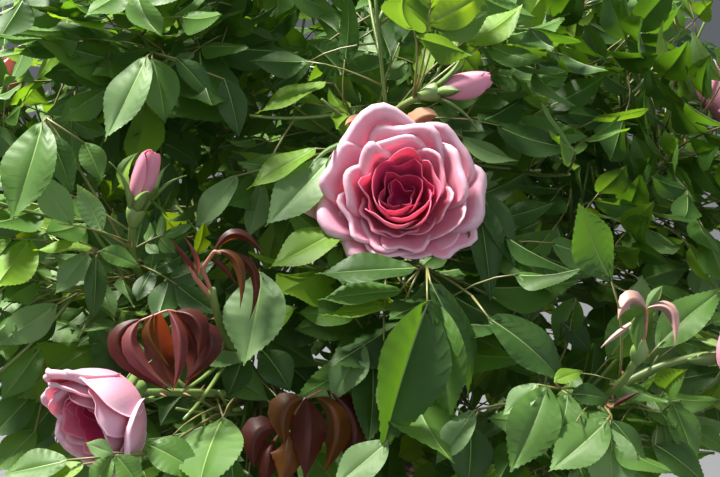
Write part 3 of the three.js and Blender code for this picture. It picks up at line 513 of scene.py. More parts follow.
shootNamed = {shoot["name"]: shoot for shoot in shoots}
for number, shoot in enumerate(shoots):
    shoot.setdefault("enter", bushRule["forkEnter"])
    shoot["number"] = number
    shoot["seed"] = bushRule["firstSeed"] + bushRule["seedStep"] * number
    shoot["curve"] = shootCurve(shoot)
for shoot in shoots:
    shoot["axis"] = axisPoints(shoot)
    shoot["stems"] = [shoot["curve"].line(shoot["enter"], 1)]
    shoot["taken"] = np.zeros((0, 3))
    shoot["twigs"] = []
    shoot["leaves"] = []
allFlowers = [placeFlower(row, baseOf(row)) for row in flowers]
allFlowers += [placeFlower(row, vector(row["tip"])) for row in placedTwigs]
caneSegments = segmentsOf([shoot["curve"].line(0, shoot["enter"]) for shoot in shoots])
axisAll = np.concatenate([shoot["axis"] for shoot in shoots])
axisStarts = np.cumsum([0] + [len(shoot["axis"]) for shoot in shoots[:-1]])
flowerMiddles, flowerFaces, flowerRadii, flowerViews = (
    np.array([flower[key] for flower in allFlowers]) for key in ("middle", "face", "radius", "view"))
eye = vector(cameraSetup["place"]) / metre
sunPlace = np.array([-1000.0, 150.0, 2500.0])


# The place at a depth behind a point of the picture
def seen(across, down, depth):
    tilt = math.radians(cameraSetup["pitch"])
    ahead = np.array([0, math.cos(tilt), math.sin(tilt)])
    above = np.array([0, -math.sin(tilt), math.cos(tilt)])
    half, middle = cameraSetup["picture"][0] / 2, cameraSetup["picture"][1] / 2
    focus = half / math.tan(math.radians(cameraSetup["width"] / 2))
    aside = np.array([1, 0, 0]) * (across - half) / focus
    return eye + depth * (ahead + aside + above * (middle - down) / focus)


for row in frontSprays:
    for leaflet in row["leaflets"]:
        leaflet["foot"], leaflet["tip"] = seen(*leaflet["foot"]), seen(*leaflet["tip"])
        leaflet["long"] = np.linalg.norm(leaflet["tip"] - leaflet["foot"])
    row["past"] = seen(*row["past"])
placedAll = placedLeaves + photoLeaves
sprayLeaflets = [leaflet for row in frontSprays for leaflet in row["leaflets"]]
frontFlowers = [flower for flower in allFlowers if flower["where"] == "front"]
frontStem = [shootNamed["front"]["curve"].at(t) for t in (0.58, 0.62, 0.66, 0.7, 0.74, 0.78)]
# What was placed on the front stays in view: nothing grows between it and the camera, and no leaf
# shades its flowers. Each row is a spot, the radius kept clear in front of it and where it is seen from.
guarded = [(mix(baseOf(row), vector(row["tip"]), 0.78), guard["leaf"], eye)
           for row in placedAll if row["tint"] != "young"]
guarded += [(flower["middle"], guard["flower"] * flower["radius"], eye) for flower in frontFlowers]
guarded += [(spot, guard["stem"], eye) for spot in frontStem]
firstKept = len(guarded)
guarded += [(vector(row[key]), guard["young"], eye) for row in youngLeaves for key in ("past", "tip")]
guarded += [(mix(leaflet["foot"], leaflet["tip"], share), guard["spray"] * leaflet["long"], eye)
            for leaflet in sprayLeaflets for share in (0.35, 0.7)]
keptClear = slice(firstKept, len(guarded))
guarded += [(flower["middle"], guard["flower"] * flower["radius"], sunPlace) for flower in frontFlowers]
guardSpots, guardRadii, guardFrom = (np.array(column) for column in zip(*guarded))
guardWays = (guardFrom - guardSpots) / np.linalg.norm(guardFrom - guardSpots, axis=1)[:, None]


def inWay(points, chosen=slice(None)):
    ahead = points[:, None] - guardSpots[chosen]
    forward = (ahead * guardWays[chosen]).sum(2)
    away = np.sqrt(np.maximum(0, (ahead**2).sum(2) - forward**2))
    return ((forward > guard["near"]) & (forward < guard["reach"]) & (away < guardRadii[chosen])).any(1)


# Which points lie in the crown, nearer to their own shoot than to any other, and clear of canes and flowers
def freePoints(points, own, placed, growth):
    free = ((points > reachLow) & (points < reachHigh)).all(1)
    toAxes = np.minimum.reduceat(np.linalg.norm(points[:, None] - axisAll, axis=2), axisStarts, axis=1)
    mine = toAxes[:, own["number"]].copy()
    toAxes[:, own["number"]] = np.inf
    free &= toAxes.min(1) >= mine + growth["cell"]
    free &= fromSegments(points, caneSegments) >= (0.6 if placed else 1) * growth["limb"]
    ahead = points[:, None] - flowerMiddles
    distance = np.linalg.norm(ahead, axis=2)
    free &= (distance >= flowerRadii + bushRule["bloomClear"] * 0.3).all(1)
    if not placed:
        free &= np.linalg.norm((points - bushRule["crownMiddle"]) / bushRule["crownRadii"], axis=1) <= 1
        forward = (ahead * flowerFaces).sum(2)
        away = np.sqrt(np.maximum(0, distance**2 - forward**2))
        before = (forward > 0) & (forward < flowerViews * flowerRadii)
        free &= ~(before & (away < flowerRadii + bushRule["bloomClear"])).any(1)
        free &= ~inWay(points)
    return free


def leafFrame(base, tip, light):
    length = np.linalg.norm(tip - base)
    heading = (tip - base) / length
    side = unit(np.cross(heading, light))
    face = unit(np.cross(side, heading))
    return {"base": base, "heading": heading, "side": side, "face": face, "length": length}


def leafPoint(leaf, s, w):
    s, w = np.asarray(s, float)[..., None], np.asarray(w, float)[..., None]
    rise = leafRule["arch"] * np.sin(np.pi * np.maximum(0, s)) - leafRule["droop"] * w * w
    return leaf["base"] + (s * leaf["heading"] + w * leaf["side"] + rise * leaf["face"]) * leaf["length"]


# A compound leaf's leaflets, each by its corners and then the other spots that need free space
def leafletPlan():
    rows = [(1 - leafRule["end"], 0, leafRule["end"])]
    rows += [(at, hand, length) for at, length in leafRule["pairs"] for hand in (1, -1)]
    plan = []
    for at, hand, length in rows:
        c, n = math.cos(hand * leafRule["sideAngle"]), math.sin(hand * leafRule["sideAngle"])
        half, widest = length * leafRule["width"] / 2, leafRule["widest"] * length
        corners = ((0, 0), (widest, half), (length, 0), (widest, -half))
        foot, left, tip, right = [np.array([at + t * c - out * n, t * n + out * c]) for t, out in corners]
        edges = ((left, right), (left, tip), (right, tip), (foot, left), (foot, right))
        plan.append(np.array([foot, left, tip, right, *[(p + q) / 2 for p, q in edges]]))
    return plan


plan = leafletPlan()
planSpots = np.concatenate(plan)


def growLeaf(own, base, tip, light, placed, growth, tint=None):
    leaf = leafFrame(base, tip, light)
    spots = leafPoint(leaf, planSpots[:, 0], planSpots[:, 1])
    good = freePoints(spots, own, placed, growth)
    low, high = spots.min(0) - growth["apart"], spots.max(0) + growth["apart"]
    close = own["taken"][((own["taken"] > low) & (own["taken"] < high)).all(1)]
    if len(close):
        good &= np.linalg.norm(spots[:, None] - close, axis=2).min(1) > growth["apart"]
    good &= fromSegments(spots, segmentsOf(own["stems"])) > growth["stemApart"]
    kept = good.reshape(len(plan), -1).all(1)
    stalk = leafPoint(leaf, [0.2, 0.3, 0.4, 0.5], [0, 0, 0, 0])
    if not kept[0] or (fromSegments(stalk, caneSegments) <= growth["limb"] * 0.6).any():
        return False
    own["taken"] = np.concatenate([own["taken"], spots.reshape(len(plan), -1, 3)[kept].reshape(-1, 3)])
    own["leaves"].append({**leaf, "kept": kept, "tint": tint})
    return True


def growLeaves(own, curve, start, end, count, size, chance, growth):
    for i in range(count):
        t = mix(start, end, (i + leafRule["first"]) / count)
        turn = i * leafRule["goldenTurn"] + chance.turn()
        length = leafRule["length"] * size * chance(*leafRule["lengths"])
        sink, roll = chance(*leafRule["sinks"]), chance(*leafRule["rolls"])
        base, stem = curve.at(t), curve.heading(t)
        out = outward(base)
        for extra in leafRule["turnTries"]:
            around = turned(sideways(stem), stem, turn + extra)
            way = unit(stem * leafRule["ahead"] + around + out * leafRule["outward"] - up * sink)
            light = turned(unit(up * leafRule["lightUp"] + out * leafRule["lightOut"]), way, roll)
            if growLeaf(own, base, base + way * length, light, False, growth):
                break


def growTwig(own, host, t, turn, length, growth):
    base, stem = host.at(t), host.heading(t)
    way = unit(stem * twigRule["ahead"] + turned(sideways(stem), stem, turn))
    tip = base + way * length + up * length * twigRule["rise"]
    twig = Bezier(base, base + way * length * twigRule["bend"], tip)
    if not freePoints(twig.at(twigRule["tested"]), own, False, growth).all():
        return None
    own["stems"].append(twig.line(0, 1))
    own["twigs"].append(twig)
    return twig


# The growth that the solids show
def growSolidMass(own):
    chance = Chance(own["seed"])
    for row in placedAll:
        if row["on"] == own["name"]:
            tip, light = vector(row["tip"]), unit(row["light"])
            if growLeaf(own, baseOf(row), tip, light, True, heroGrowth, row["tint"]):
                own["leaves"][-1]["bare"] = row.get("bare", False)
            else:
                print("no room for", row["on"], row["tip"])
    curve, enter = own["curve"], own["enter"]
    start, middle, end = curve.at(np.array([enter, (enter + 1) / 2, 1]))
    stretch = np.linalg.norm(middle - start) + np.linalg.norm(end - middle)
    count, rule = round(stretch / leafRule["every"]), solidGrowth
    growLeaves(own, curve, enter, leafRule["stemEnd"], count, 1, chance, rule)
    for i in range(rule["twigs"]):
        t = mix(enter, twigRule["stemEnd"], (i + 0.5) / rule["twigs"])
        turn = i * leafRule["goldenTurn"] + chance.turn()
        twig = growTwig(own, curve, t, turn, rule["length"] * chance(*rule["lengths"]), rule)
        if twig:
            growLeaves(own, twig, *rule["along"], rule["leaves"], rule["size"], chance, rule)
        else:  # the leaves of a twig that found no room still take their draws
            for _ in range(rule["draws"] * rule["leaves"]):
                chance()


# The same rule carried on to finer twigs, which leave the shoot and the twigs before them
def growFiner(own):
    chance, curve = Chance(own["seed"] + finerRule["seed"]), own["curve"]
    for growth in finerGrowth:
        foot = own["enter"] * growth["from"]
        low, high = finerRule["stemAlong"]
        hosts = [(curve, foot + low, high)] * finerRule["stemWeight"]
        hosts += [(twig, *finerRule["twigAlong"]) for twig in own["twigs"]]
        size = growth["size"] * finerRule["stemSize"]
        growLeaves(own, curve, foot, leafRule["stemEnd"], growth["stemLeaves"], size, chance, growth)
        for _ in range(growth["twigs"]):
            host, start, end = hosts[int(chance() * len(hosts))]
            t = chance(start, end)
            length = growth["length"] * chance(*finerRule["lengths"])
            twig = growTwig(own, host, t, chance.turn(), length, growth)
            if twig:
                growLeaves(own, twig, *finerRule["along"], growth["leaves"], growth["size"], chance, growth)


for shoot in shoots:
    growSolidMass(shoot)
    growFiner(shoot)
    print("grown", shoot["name"], len(shoot["leaves"]), "leaves on", len(shoot["twigs"]), "twigs")


# Node trees: a wire wraps an output socket, so that sums on values add their Math nodes
class Wire:
    def __init__(self, graph, socket):
        self.graph = graph
        self.socket = socket

    def reckon(self, operation, first, second):
        return self.graph.make("ShaderNodeMath", {"operation": operation}, {0: first, 1: second})

    def __add__(self, other):
        return self.reckon("ADD", self, other)

    def __radd__(self, other):
        return self.reckon("ADD", other, self)

    def __sub__(self, other):
        return self.reckon("SUBTRACT", self, other)

    def __rsub__(self, other):
        return self.reckon("SUBTRACT", other, self)

    def __mul__(self, other):
        return self.reckon("MULTIPLY", self, other)

    def __rmul__(self, other):
        return self.reckon("MULTIPLY", other, self)


class Graph:
    def __init__(self, tree):
        self.tree = tree

    def make(self, kind, settings=None, sockets=None, output=0):
        node = self.tree.nodes.new(kind)
        for name, value in (settings or {}).items():
            if name == "stops":
                while len(node.color_ramp.elements) < len(value):
                    node.color_ramp.elements.new(0.5)
                for element, (position, colour) in zip(node.color_ramp.elements, value):
                    element.position = position
                    element.color = (*colour, 1)
            else:
                setattr(node, name, value)
        for name, value in (sockets or {}).items():
            if isinstance(value, Wire):
                self.tree.links.new(value.socket, node.inputs[name])
            else:
                node.inputs[name].default_value = value
        return Wire(self, node.outputs[output]) if len(node.outputs) else node

    # Noise on the piece's own metres
    def noise(self, scale, detail=3, roughness=0.5, stretch=(1, 1, 1)):
        place = self.make("ShaderNodeTexCoord", output="Object")
        place = self.make("ShaderNodeMapping", None, {"Vector": place, "Scale": stretch})
        sockets = {"Vector": place, "Scale": scale, "Detail": detail, "Roughness": roughness}
        return self.make("ShaderNodeTexNoise", None, sockets)

    def blend(self, factor, first, second):
        first, second = [value if isinstance(value, Wire) else (*value, 1) for value in (first, second)]
        return self.make("ShaderNodeMix", {"data_type": "RGBA"}, {0: factor, 6: first, 7: second}, output=2)

    def bump(self, strength, distance, height):
        sockets = {"Strength": strength, "Distance": distance, "Height": height}
        return self.make("ShaderNodeBump", None, sockets)

    def surface(self, colour, rough, bump=None, more=None):
        sockets = {"Base Color": colour, "Roughness": rough, **(more or {})}
        if bump:
            sockets["Normal"] = bump
        return self.make("ShaderNodeBsdfPrincipled", None, sockets)

    # A thin surface lets a share of the light through
    def thin(self, surface, colour, share):
        glow = self.make("ShaderNodeBsdfTranslucent", None, {"Color": (*colour, 1)})
        return self.make("ShaderNodeMixShader", None, {0: share, 1: surface, 2: glow})


def makeFinish(name, build, *look):
    material = bpy.data.materials.new(name)
    material.use_nodes = True
    material.node_tree.nodes.clear()
    graph = Graph(material.node_tree)
    graph.make("ShaderNodeOutputMaterial", None, {"Surface": build(graph, *look)})
    return material


# Leaf tints are lit and shaded copies of one green: dark is painted shade, pale a sunlit top with a painted
# sheen of sky, and bright painted backlight over the yellower green of young leaves. Middle is the plain leaf,
# and burgundy, mauve and russet are young leaves' own colours. Each row gives low and high colours, the colour
# let through and roughness.
tintRows = listed(
    "name low high through rough",
    ("dark", (0.022, 0.062, 0.01), (0.042, 0.098, 0.02), (0.13, 0.3, 0.01), 0.5),
    ("middle", (0.05, 0.124, 0.02), (0.092, 0.188, 0.038), (0.22, 0.42, 0.015), 0.5),
    ("pale", (0.095, 0.185, 0.06), (0.16, 0.26, 0.1), (0.26, 0.44, 0.06), 0.52),
    ("bright", (0.095, 0.2, 0.012), (0.165, 0.3, 0.026), (0.34, 0.52, 0.01), 0.5),
    ("burgundy", (0.032, 0.007, 0.006), (0.08, 0.018, 0.012), (0.3, 0.05, 0.01), 0.42),
    ("mauve", (0.08, 0.018, 0.02), (0.21, 0.06, 0.062), (0.34, 0.07, 0.04), 0.48),
    ("russet", (0.045, 0.015, 0.005), (0.13, 0.048, 0.01), (0.42, 0.15, 0.01), 0.42),
)
leafTints = {row["name"]: row for row in tintRows}
leafLook = {
    "patch": 42, "grain": 700, "grainDepth": 0.00012, "through": 0.32, "gloss": 0.27,
    "rib": (0.18, 0.27, 0.07), "ribDark": (0.117, 0.1755, 0.0455),
}


def leafSurface(graph, tint):
    patch = graph.noise(leafLook["patch"], 2)
    colour = graph.blend(patch, tint["low"], tint["high"])
    bump = graph.bump(0.5, leafLook["grainDepth"], graph.noise(leafLook["grain"], 2))
    rough = tint["rough"] + (patch - 0.5) * 0.12
    surface = graph.surface(colour, rough, bump, {"Specular IOR Level": leafLook["gloss"]})
    return graph.thin(surface, tint["through"], leafLook["through"])


def ribSurface(graph):
    return graph.surface(graph.blend(graph.noise(60, 2), leafLook["rib"], leafLook["ribDark"]), 0.5)


def stemSurface(graph, low, high, rough):
    blotch = graph.noise(30)
    streak = graph.noise(260, 3, 0.6, (1, 1, 0.12))
    colour = graph.blend(streak * 0.35, graph.blend(blotch, low, high), tuple(0.6 * c for c in low))
    return graph.surface(colour, rough + (blotch - 0.5) * 0.2, graph.bump(0.4, 0.0002, streak))


# Bark: green with grey-brown streaks high on the cane, cracked brown wood near the soil
barkFinish = {
    "woodEnds": 0.24, "rindStarts": 0.36, "wood": ((0.060, 0.038, 0.022), (0.230, 0.165, 0.105)),
    "rind": ((0.060, 0.090, 0.022), (0.150, 0.150, 0.060)),
}


def barkSurface(graph):
    place = graph.make("ShaderNodeTexCoord", output="Object")
    height = graph.make("ShaderNodeSeparateXYZ", None, {0: place}, output="Z")
    sockets = {"Value": height, "From Min": barkFinish["woodEnds"], "From Max": barkFinish["rindStarts"]}
    low = graph.make("ShaderNodeMapRange", None, {**sockets, "To Min": 1, "To Max": 0})
    crack = graph.noise(320, 6, 0.65, (1, 1, 0.16))
    blotch = graph.noise(55, 4, 0.6)
    wood, rind = graph.blend(crack, *barkFinish["wood"]), graph.blend(blotch, *barkFinish["rind"])
    colour = graph.blend(low * 0.8 + (blotch - 0.5) * 0.7, rind, wood)
    return graph.surface(colour, 0.62 + (crack - 0.5) * 0.3, graph.bump(0.9, 0.0009, crack))


# Petals: depth runs from the pale rolled edge to the deep pink foot, and outside marks the petal's back
petalLook = {
    "inside": ((0.0, (0.76, 0.56, 0.68)), (0.12, (0.78, 0.37, 0.50)), (0.36, (0.77, 0.20, 0.34)),
               (0.66, (0.64, 0.052, 0.18)), (1.0, (0.40, 0.007, 0.095))),
    "outside": ((0.0, (0.73, 0.54, 0.66)), (0.25, (0.70, 0.38, 0.50)), (0.7, (0.70, 0.23, 0.36)),
                (1.0, (0.54, 0.08, 0.17))),
    "through": (0.96, 0.26, 0.33), "share": 0.33, "sheen": {"Sheen Weight": 0.15, "Sheen Roughness": 0.4},
}


def petalSurface(graph):
    depth = graph.make("ShaderNodeAttribute", {"attribute_name": "depth"}, None, output="Fac")
    outside = graph.make("ShaderNodeAttribute", {"attribute_name": "outside"}, None, output="Fac")
    veins = graph.make("ShaderNodeAttribute", {"attribute_name": "petalPlace"}, None, output="Vector")
    veins = graph.make("ShaderNodeMapping", None, {"Vector": veins, "Scale": (26, 1.6, 1)})
    veins = graph.make("ShaderNodeTexNoise", None, {"Vector": veins, "Scale": 1, "Detail": 3})
    shifted = depth + (veins - 0.5) * 0.10 + (graph.noise(45) - 0.5) * 0.16
    inner, outer = [graph.make("ShaderNodeValToRGB", {"stops": petalLook[side]}, {"Fac": shifted})
                    for side in ("inside", "outside")]
    colour = graph.blend(outside, inner, outer)
    surface = graph.surface(colour, 0.52, graph.bump(0.35, 0.00035, veins), petalLook["sheen"])
    return graph.thin(surface, petalLook["through"], petalLook["share"])


plasticFinish = {
    "black": ((0.010, 0.011, 0.014), (0.030, 0.032, 0.038)), "dust": (0.085, 0.072, 0.058), "rough": 0.42,
}


def plasticSurface(graph):
    scuff = graph.noise(38, 5, 0.6)
    dust = graph.noise(9, 4, 0.6, (1, 1, 2.5))
    colour = graph.blend(scuff, *plasticFinish["black"])
    colour = graph.blend((dust - 0.5) * 1.6, colour, plasticFinish["dust"])
    rough = plasticFinish["rough"] + (dust - 0.5) * 0.5
    return graph.surface(colour, rough, graph.bump(0.35, 0.0002, graph.noise(900, 2)))


def soilSurface(graph, low, high, depth):
    crumb = graph.noise(210, 6, 0.7)
    return graph.surface(graph.blend(crumb, low, high), 0.9, graph.bump(1, depth, crumb))


finishes = {"leaf_" + name: makeFinish("leaf" + name.capitalize(), leafSurface, tint)
            for name, tint in leafTints.items()}
finishes["rib"] = makeFinish("leafRib", ribSurface)
finishes["bark"] = makeFinish("caneBark", barkSurface)
finishes["petal"] = makeFinish("rosePetal", petalSurface)
finishes["pot"] = makeFinish("nurseryPlastic", plasticSurface)
# The finish's key and name, its two colours, and then how rough or how deep it is
for key, name, build, *look in (
    ("stem", "greenStem", stemSurface, (0.085, 0.150, 0.030), (0.200, 0.270, 0.070), 0.42),
    ("stalk", "leafStalk", stemSurface, (0.130, 0.170, 0.040), (0.240, 0.180, 0.070), 0.45),
    ("sepal", "budGreen", stemSurface, (0.110, 0.200, 0.045), (0.210, 0.300, 0.090), 0.45),
    ("redStalk", "redStalk", stemSurface, (0.260, 0.090, 0.060), (0.420, 0.170, 0.110), 0.45),
    ("blush", "sepalBlush", stemSurface, (0.330, 0.160, 0.140), (0.450, 0.300, 0.250), 0.55),
    ("dried", "driedPetal", stemSurface, (0.200, 0.085, 0.035), (0.360, 0.180, 0.085), 0.70),
    ("prickle", "pricklePink", stemSurface, (0.300, 0.110, 0.070), (0.360, 0.210, 0.110), 0.4),
    ("soil", "pottingMix", soilSurface, (0.018, 0.012, 0.008), (0.075, 0.050, 0.032), 0.003),
    ("chipDark", "chipDark", soilSurface, (0.035, 0.020, 0.012), (0.120, 0.070, 0.040), 0.0008),
    ("chipPale", "chipPale", soilSurface, (0.110, 0.065, 0.035), (0.260, 0.170, 0.095), 0.0008),
):
    finishes[key] = makeFinish(name, build, *look)
print("finishes made")


def plainMesh(name, points, faces, soft=True):
    mesh = bpy.data.meshes.new(name)
    mesh.from_pydata(points, [], faces)
    mesh.polygons.foreach_set("use_smooth", [soft] * len(faces))
    mesh.update()
    return mesh


# Collects shapes into one mesh, with named values on its points
class Batch:
    def __init__(self, name):
        self.name = name
        self.points = []
        self.faces = []
        self.finishOf = []
        self.values = {}
        self.count = 0

    def add(self, points, faces, finish=0, **values):
        self.points.append(np.asarray(points, float))
        self.faces.extend([tuple(corner + self.count for corner in face) for face in faces])
        self.finishOf.extend([finish] * len(faces))
        for name, value in values.items():
            self.values.setdefault(name, []).append(np.asarray(value, float))
        self.count += len(points)

    def mesh(self):
        return plainMesh(self.name, (np.concatenate(self.points) * metre).tolist(), self.faces)

    def piece(self, finishNames, nodes=None, slot=None):
        mesh = self.mesh()
        for name, value in self.values.items():
            flat = np.concatenate(value)
            kind, field = ("FLOAT_VECTOR", "vector") if flat.ndim > 1 else ("FLOAT", "value")
            mesh.attributes.new(name, kind, "POINT").data.foreach_set(field, flat.ravel())
        for name in finishNames:
            mesh.materials.append(finishes[name])
        mesh.polygons.foreach_set("material_index", self.finishOf)
        return addPiece(self.name, mesh, nodes)


def addPiece(name, mesh, nodes=None):
    piece = bpy.data.objects.new(name, mesh)
    scene.collection.objects.link(piece)
    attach(piece, "root")
    for node in [nodes] if isinstance(nodes, str) else nodes or []:
        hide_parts(node)
    return piece


# A tube along points, closed at both ends. relief(ring, angles) adds to its radius.
tubeAcross = (0.31, 0.87, 0.38)


def tube(points, radii, sides, relief=None):
    points = np.asarray(points, float)
    headings = headingsAlong(points)
    across = sideways(headings[0], tubeAcross)
    rings = []
    angles = np.arange(sides) * 2 * np.pi / sides
    for i, heading in enumerate(headings):
        across = unit(across - heading * np.dot(across, heading))
        radius = np.full(sides, radii[i]) if relief is None else radii[i] + relief(i, angles)
        ring = np.cos(angles)[:, None] * across + np.sin(angles)[:, None] * np.cross(heading, across)
        rings.append(points[i] + ring * radius[:, None])
    faces = quads(len(points), sides, True)
    faces.append(tuple(reversed(range(sides))))
    faces.append(tuple((len(points) - 1) * sides + k for k in range(sides)))
    return np.concatenate(rings), faces


# Turns pairs of radius and height about the upright axis. change(angle, radius, height) may move a point.
def lathe(profile, sides, change=None):
    points, faces, rings = [], [], []
    for radius, height in profile:
        if radius < 1e-6:
            rings.append([len(points)] * sides)
            points.append((0, 0, height))
            continue
        rings.append(list(range(len(points), len(points) + sides)))
        for k in range(sides):
            angle = 2 * math.pi * k / sides
            r, h = change(angle, radius, height) if change else (radius, height)
            points.append((r * math.cos(angle), r * math.sin(angle), h))
    for low, high in zip(rings, rings[1:]):
        for k in range(sides):
            after = (k + 1) % sides
            corners = tuple(dict.fromkeys((low[k], low[after], high[after], high[k])))
            if len(corners) > 2:
                faces.append(corners)
    return np.array(points, float), faces


# Leaflet forms, one unit long: toothed outline, folded along a pale midrib, arched and a little twisted
leafletLook = {
    "forms": 6, "fineTeeth": 18, "plainTeeth": 7, "tooth": 0.007, "rib": 0.009, "relief": 0.020,
    "fold": (0.10, 0.75), "arch": (0.02, 0.28), "wave": (0.01, 0.035), "twist": (-0.45, 0.45), "placed": 1.14,
    "chosen": {"plain": (0.22, 0.10, 0.1), "folded": (0.85, 0.16, 0.1), "bent": (0.30, 0.34, -0.2)},
    "plump": (0.86, 1.08), "roll": (-0.35, 0.35), "nearFront": -150, "nearHeight": 380,
}


def leafletOutline(x):
    widest = leafRule["widest"]
    rising = np.sin(np.pi / 2 * np.clip(x / widest, 0, 1)) ** 0.72
    falling = np.cos(np.pi / 2 * np.clip((x - widest) / (1 - widest), 0, 1)) ** 1.22
    return leafRule["width"] / 2 * np.where(x < widest, rising, falling)


def leafletForm(name, teeth, rows, chance, chosen=None):
    fold, arch, twist = [chance(*leafletLook[key]) for key in ("fold", "arch", "twist")]
    wave, phase = chance(*leafletLook["wave"]), chance.turn()
    fold, arch, twist = leafletLook["chosen"].get(chosen, (fold, arch, twist))
    bow = chance(-0.08, 0.08)
    tooth = leafletLook["tooth"]
    points, faces, ribs = [], [], []

    def addPoint(x, y, relief=0.0):
        away = min(1, abs(y) / max(leafletOutline(np.array(x)), 0.02))
        ripple = wave * math.sin(9 * x + phase + (2 if y > 0 else 0)) * away
        z = fold * abs(y) * (1 - 0.45 * away) - arch * x * x + ripple + relief
        y = y + bow * x * (1 - x) * 2
        c, n = math.cos(twist * x), math.sin(twist * x)
        points.append((x, y * c - z * n, y * n + z * c))
        return len(points) - 1

    stations = [i / teeth for i in range(teeth + 1)]
    spine = [addPoint(x, 0, -0.004 if 0 < i < teeth else 0) for i, x in enumerate(stations)]
    for hand in (1, -1):
        lines = [spine, [addPoint(x, hand * leafletLook["rib"] * (1 - 0.85 * x)) for x in stations]]
        for row in range(1, rows + 1):
            share = row / (rows + 1)
            line = []
            for i, x in enumerate(stations):
                relief = leafletLook["relief"] * (0.5 if i % 2 else -0.5)
                out = hand * share * leafletOutline(np.array(x))
                line.append(addPoint(min(1, x + 0.10 * share * (1 - x)), out, relief))
            lines.append(line)
        edge = []
        for i, x in enumerate(stations):
            edge.append(addPoint(x, hand * (leafletOutline(np.array(x)) - 0.3 * tooth * (0 < i < teeth))))
            if i < teeth:
                ahead = x + 0.72 / teeth
                out = hand * (leafletOutline(np.array(ahead)) + tooth)
                edge.append(addPoint(min(0.995, ahead + 0.012), out))
        for i in range(teeth):
            strips = [(near[i], near[i + 1], far[i + 1], far[i]) for near, far in zip(lines, lines[1:])]
            strips.append((lines[-1][i], lines[-1][i + 1], edge[2 * i + 2], edge[2 * i + 1], edge[2 * i]))
            faces += strips if hand > 0 else [strip[::-1] for strip in strips]
            ribs += [True] + [False] * (len(strips) - 1)
    mesh = plainMesh(name, points, faces)
    mesh.attributes.new("rib", "BOOLEAN", "FACE").data.foreach_set("value", ribs)
    return bpy.data.objects.new(name, mesh)


# Objects that instances are made of, gathered where the nodes can pick from them
def makeForms(name, objects):
    collection = bpy.data.collections.new(name)
    scene.collection.children.link(collection)
    for form in objects:
        collection.objects.link(form)
    return collection


def dropForms(collection):
    for form in list(collection.objects):
        bpy.data.objects.remove(form)
    bpy.data.collections.remove(collection)


def makeLeafletForms():
    chance = Chance(77)
    kinds = [(leafletLook["fineTeeth"], 2, None)] * leafletLook["forms"]
    kinds += [(leafletLook["plainTeeth"], 1, None)] * leafletLook["forms"]
    kinds += [(leafletLook["fineTeeth"], 2, form) for form in leafletLook["chosen"]]
    forms = []
    for teeth, rows, form in kinds:
        forms.append(leafletForm(f"leaflet{len(forms):02d}", teeth, rows, chance, form))
    return makeForms("leafletForms", forms)


# A new node tree with its named inputs, each a socket kind and a starting value. The form that is set on each
# point is picked from a collection, which every tree is given.
def makeTree(name, inputs):
    tree = bpy.data.node_groups.new(name, "GeometryNodeTree")
    tree.interface.new_socket("Geometry", in_out="INPUT", socket_type="NodeSocketGeometry")
    tree.interface.new_socket("Forms", in_out="INPUT", socket_type="NodeSocketCollection")
    for label, (kind, value) in inputs.items():
        tree.interface.new_socket(label, in_out="INPUT", socket_type=kind).default_value = value
    tree.interface.new_socket("Geometry", in_out="OUTPUT", socket_type="NodeSocketGeometry")
    graph = Graph(tree)
    entry = tree.nodes.new("NodeGroupInput")
    return graph, {socket.name: Wire(graph, socket) for socket in entry.outputs if socket.name}


def setForms(graph, given, points, index, turn, scale):
    sockets = {"Collection": given["Forms"], "Separate Children": True, "Reset Children": True}
    forms = graph.make("GeometryNodeCollectionInfo", None, sockets)
    made = graph.make("GeometryNodeInstanceOnPoints", None, {
        "Points": points, "Instance": forms, "Pick Instance": True, "Instance Index": index, "Rotation": turn,
        "Scale": scale})
    return graph.make("GeometryNodeRealizeInstances", None, {"Geometry": made})


def setFinish(graph, geometry, finish, chosen=True):
    sockets = {"Geometry": geometry, "Selection": chosen, "Material": finishes[finish]}
    return graph.make("GeometryNodeSetMaterial", None, sockets)


def closeTree(graph, geometry):
    graph.tree.nodes.new("NodeGroupOutput")
    graph.tree.links.new(geometry.socket, graph.tree.nodes[-1].inputs[0])


# Runs a node tree on a mesh and gives the result as a plain mesh
def runTree(graph, mesh, settings):
    host = bpy.data.objects.new(mesh.name + "Host", mesh)
    scene.collection.objects.link(host)
    modifier = host.modifiers.new("growth", "NODES")
    modifier.node_group = graph.tree
    for item in graph.tree.interface.items_tree:
        if item.in_out == "INPUT" and item.name in settings:
            modifier[item.identifier] = settings[item.name]
    evaluated = host.evaluated_get(bpy.context.evaluated_depsgraph_get())
    made = bpy.data.meshes.new_from_object(evaluated)
    host.modifiers.remove(modifier)
    bpy.data.objects.remove(host)
    return made


def attribute(graph, name, kind):
    return graph.make("GeometryNodeInputNamedAttribute", {"data_type": kind}, {"Name": name})


# Points that forms are set on, with what the tree reads from each
def pointMesh(name, rows):
    mesh = plainMesh(name, [tuple(place) for place in rows["place"]], [])
    for key, kind in (("form", "INT"), ("tint", "INT"), ("size", "FLOAT_VECTOR"), ("turn", "QUATERNION")):
        if key in rows:
            field = "vector" if key == "size" else "value"
            mesh.attributes.new(key, kind, "POINT").data.foreach_set(field, np.array(rows[key]).ravel())
    return mesh


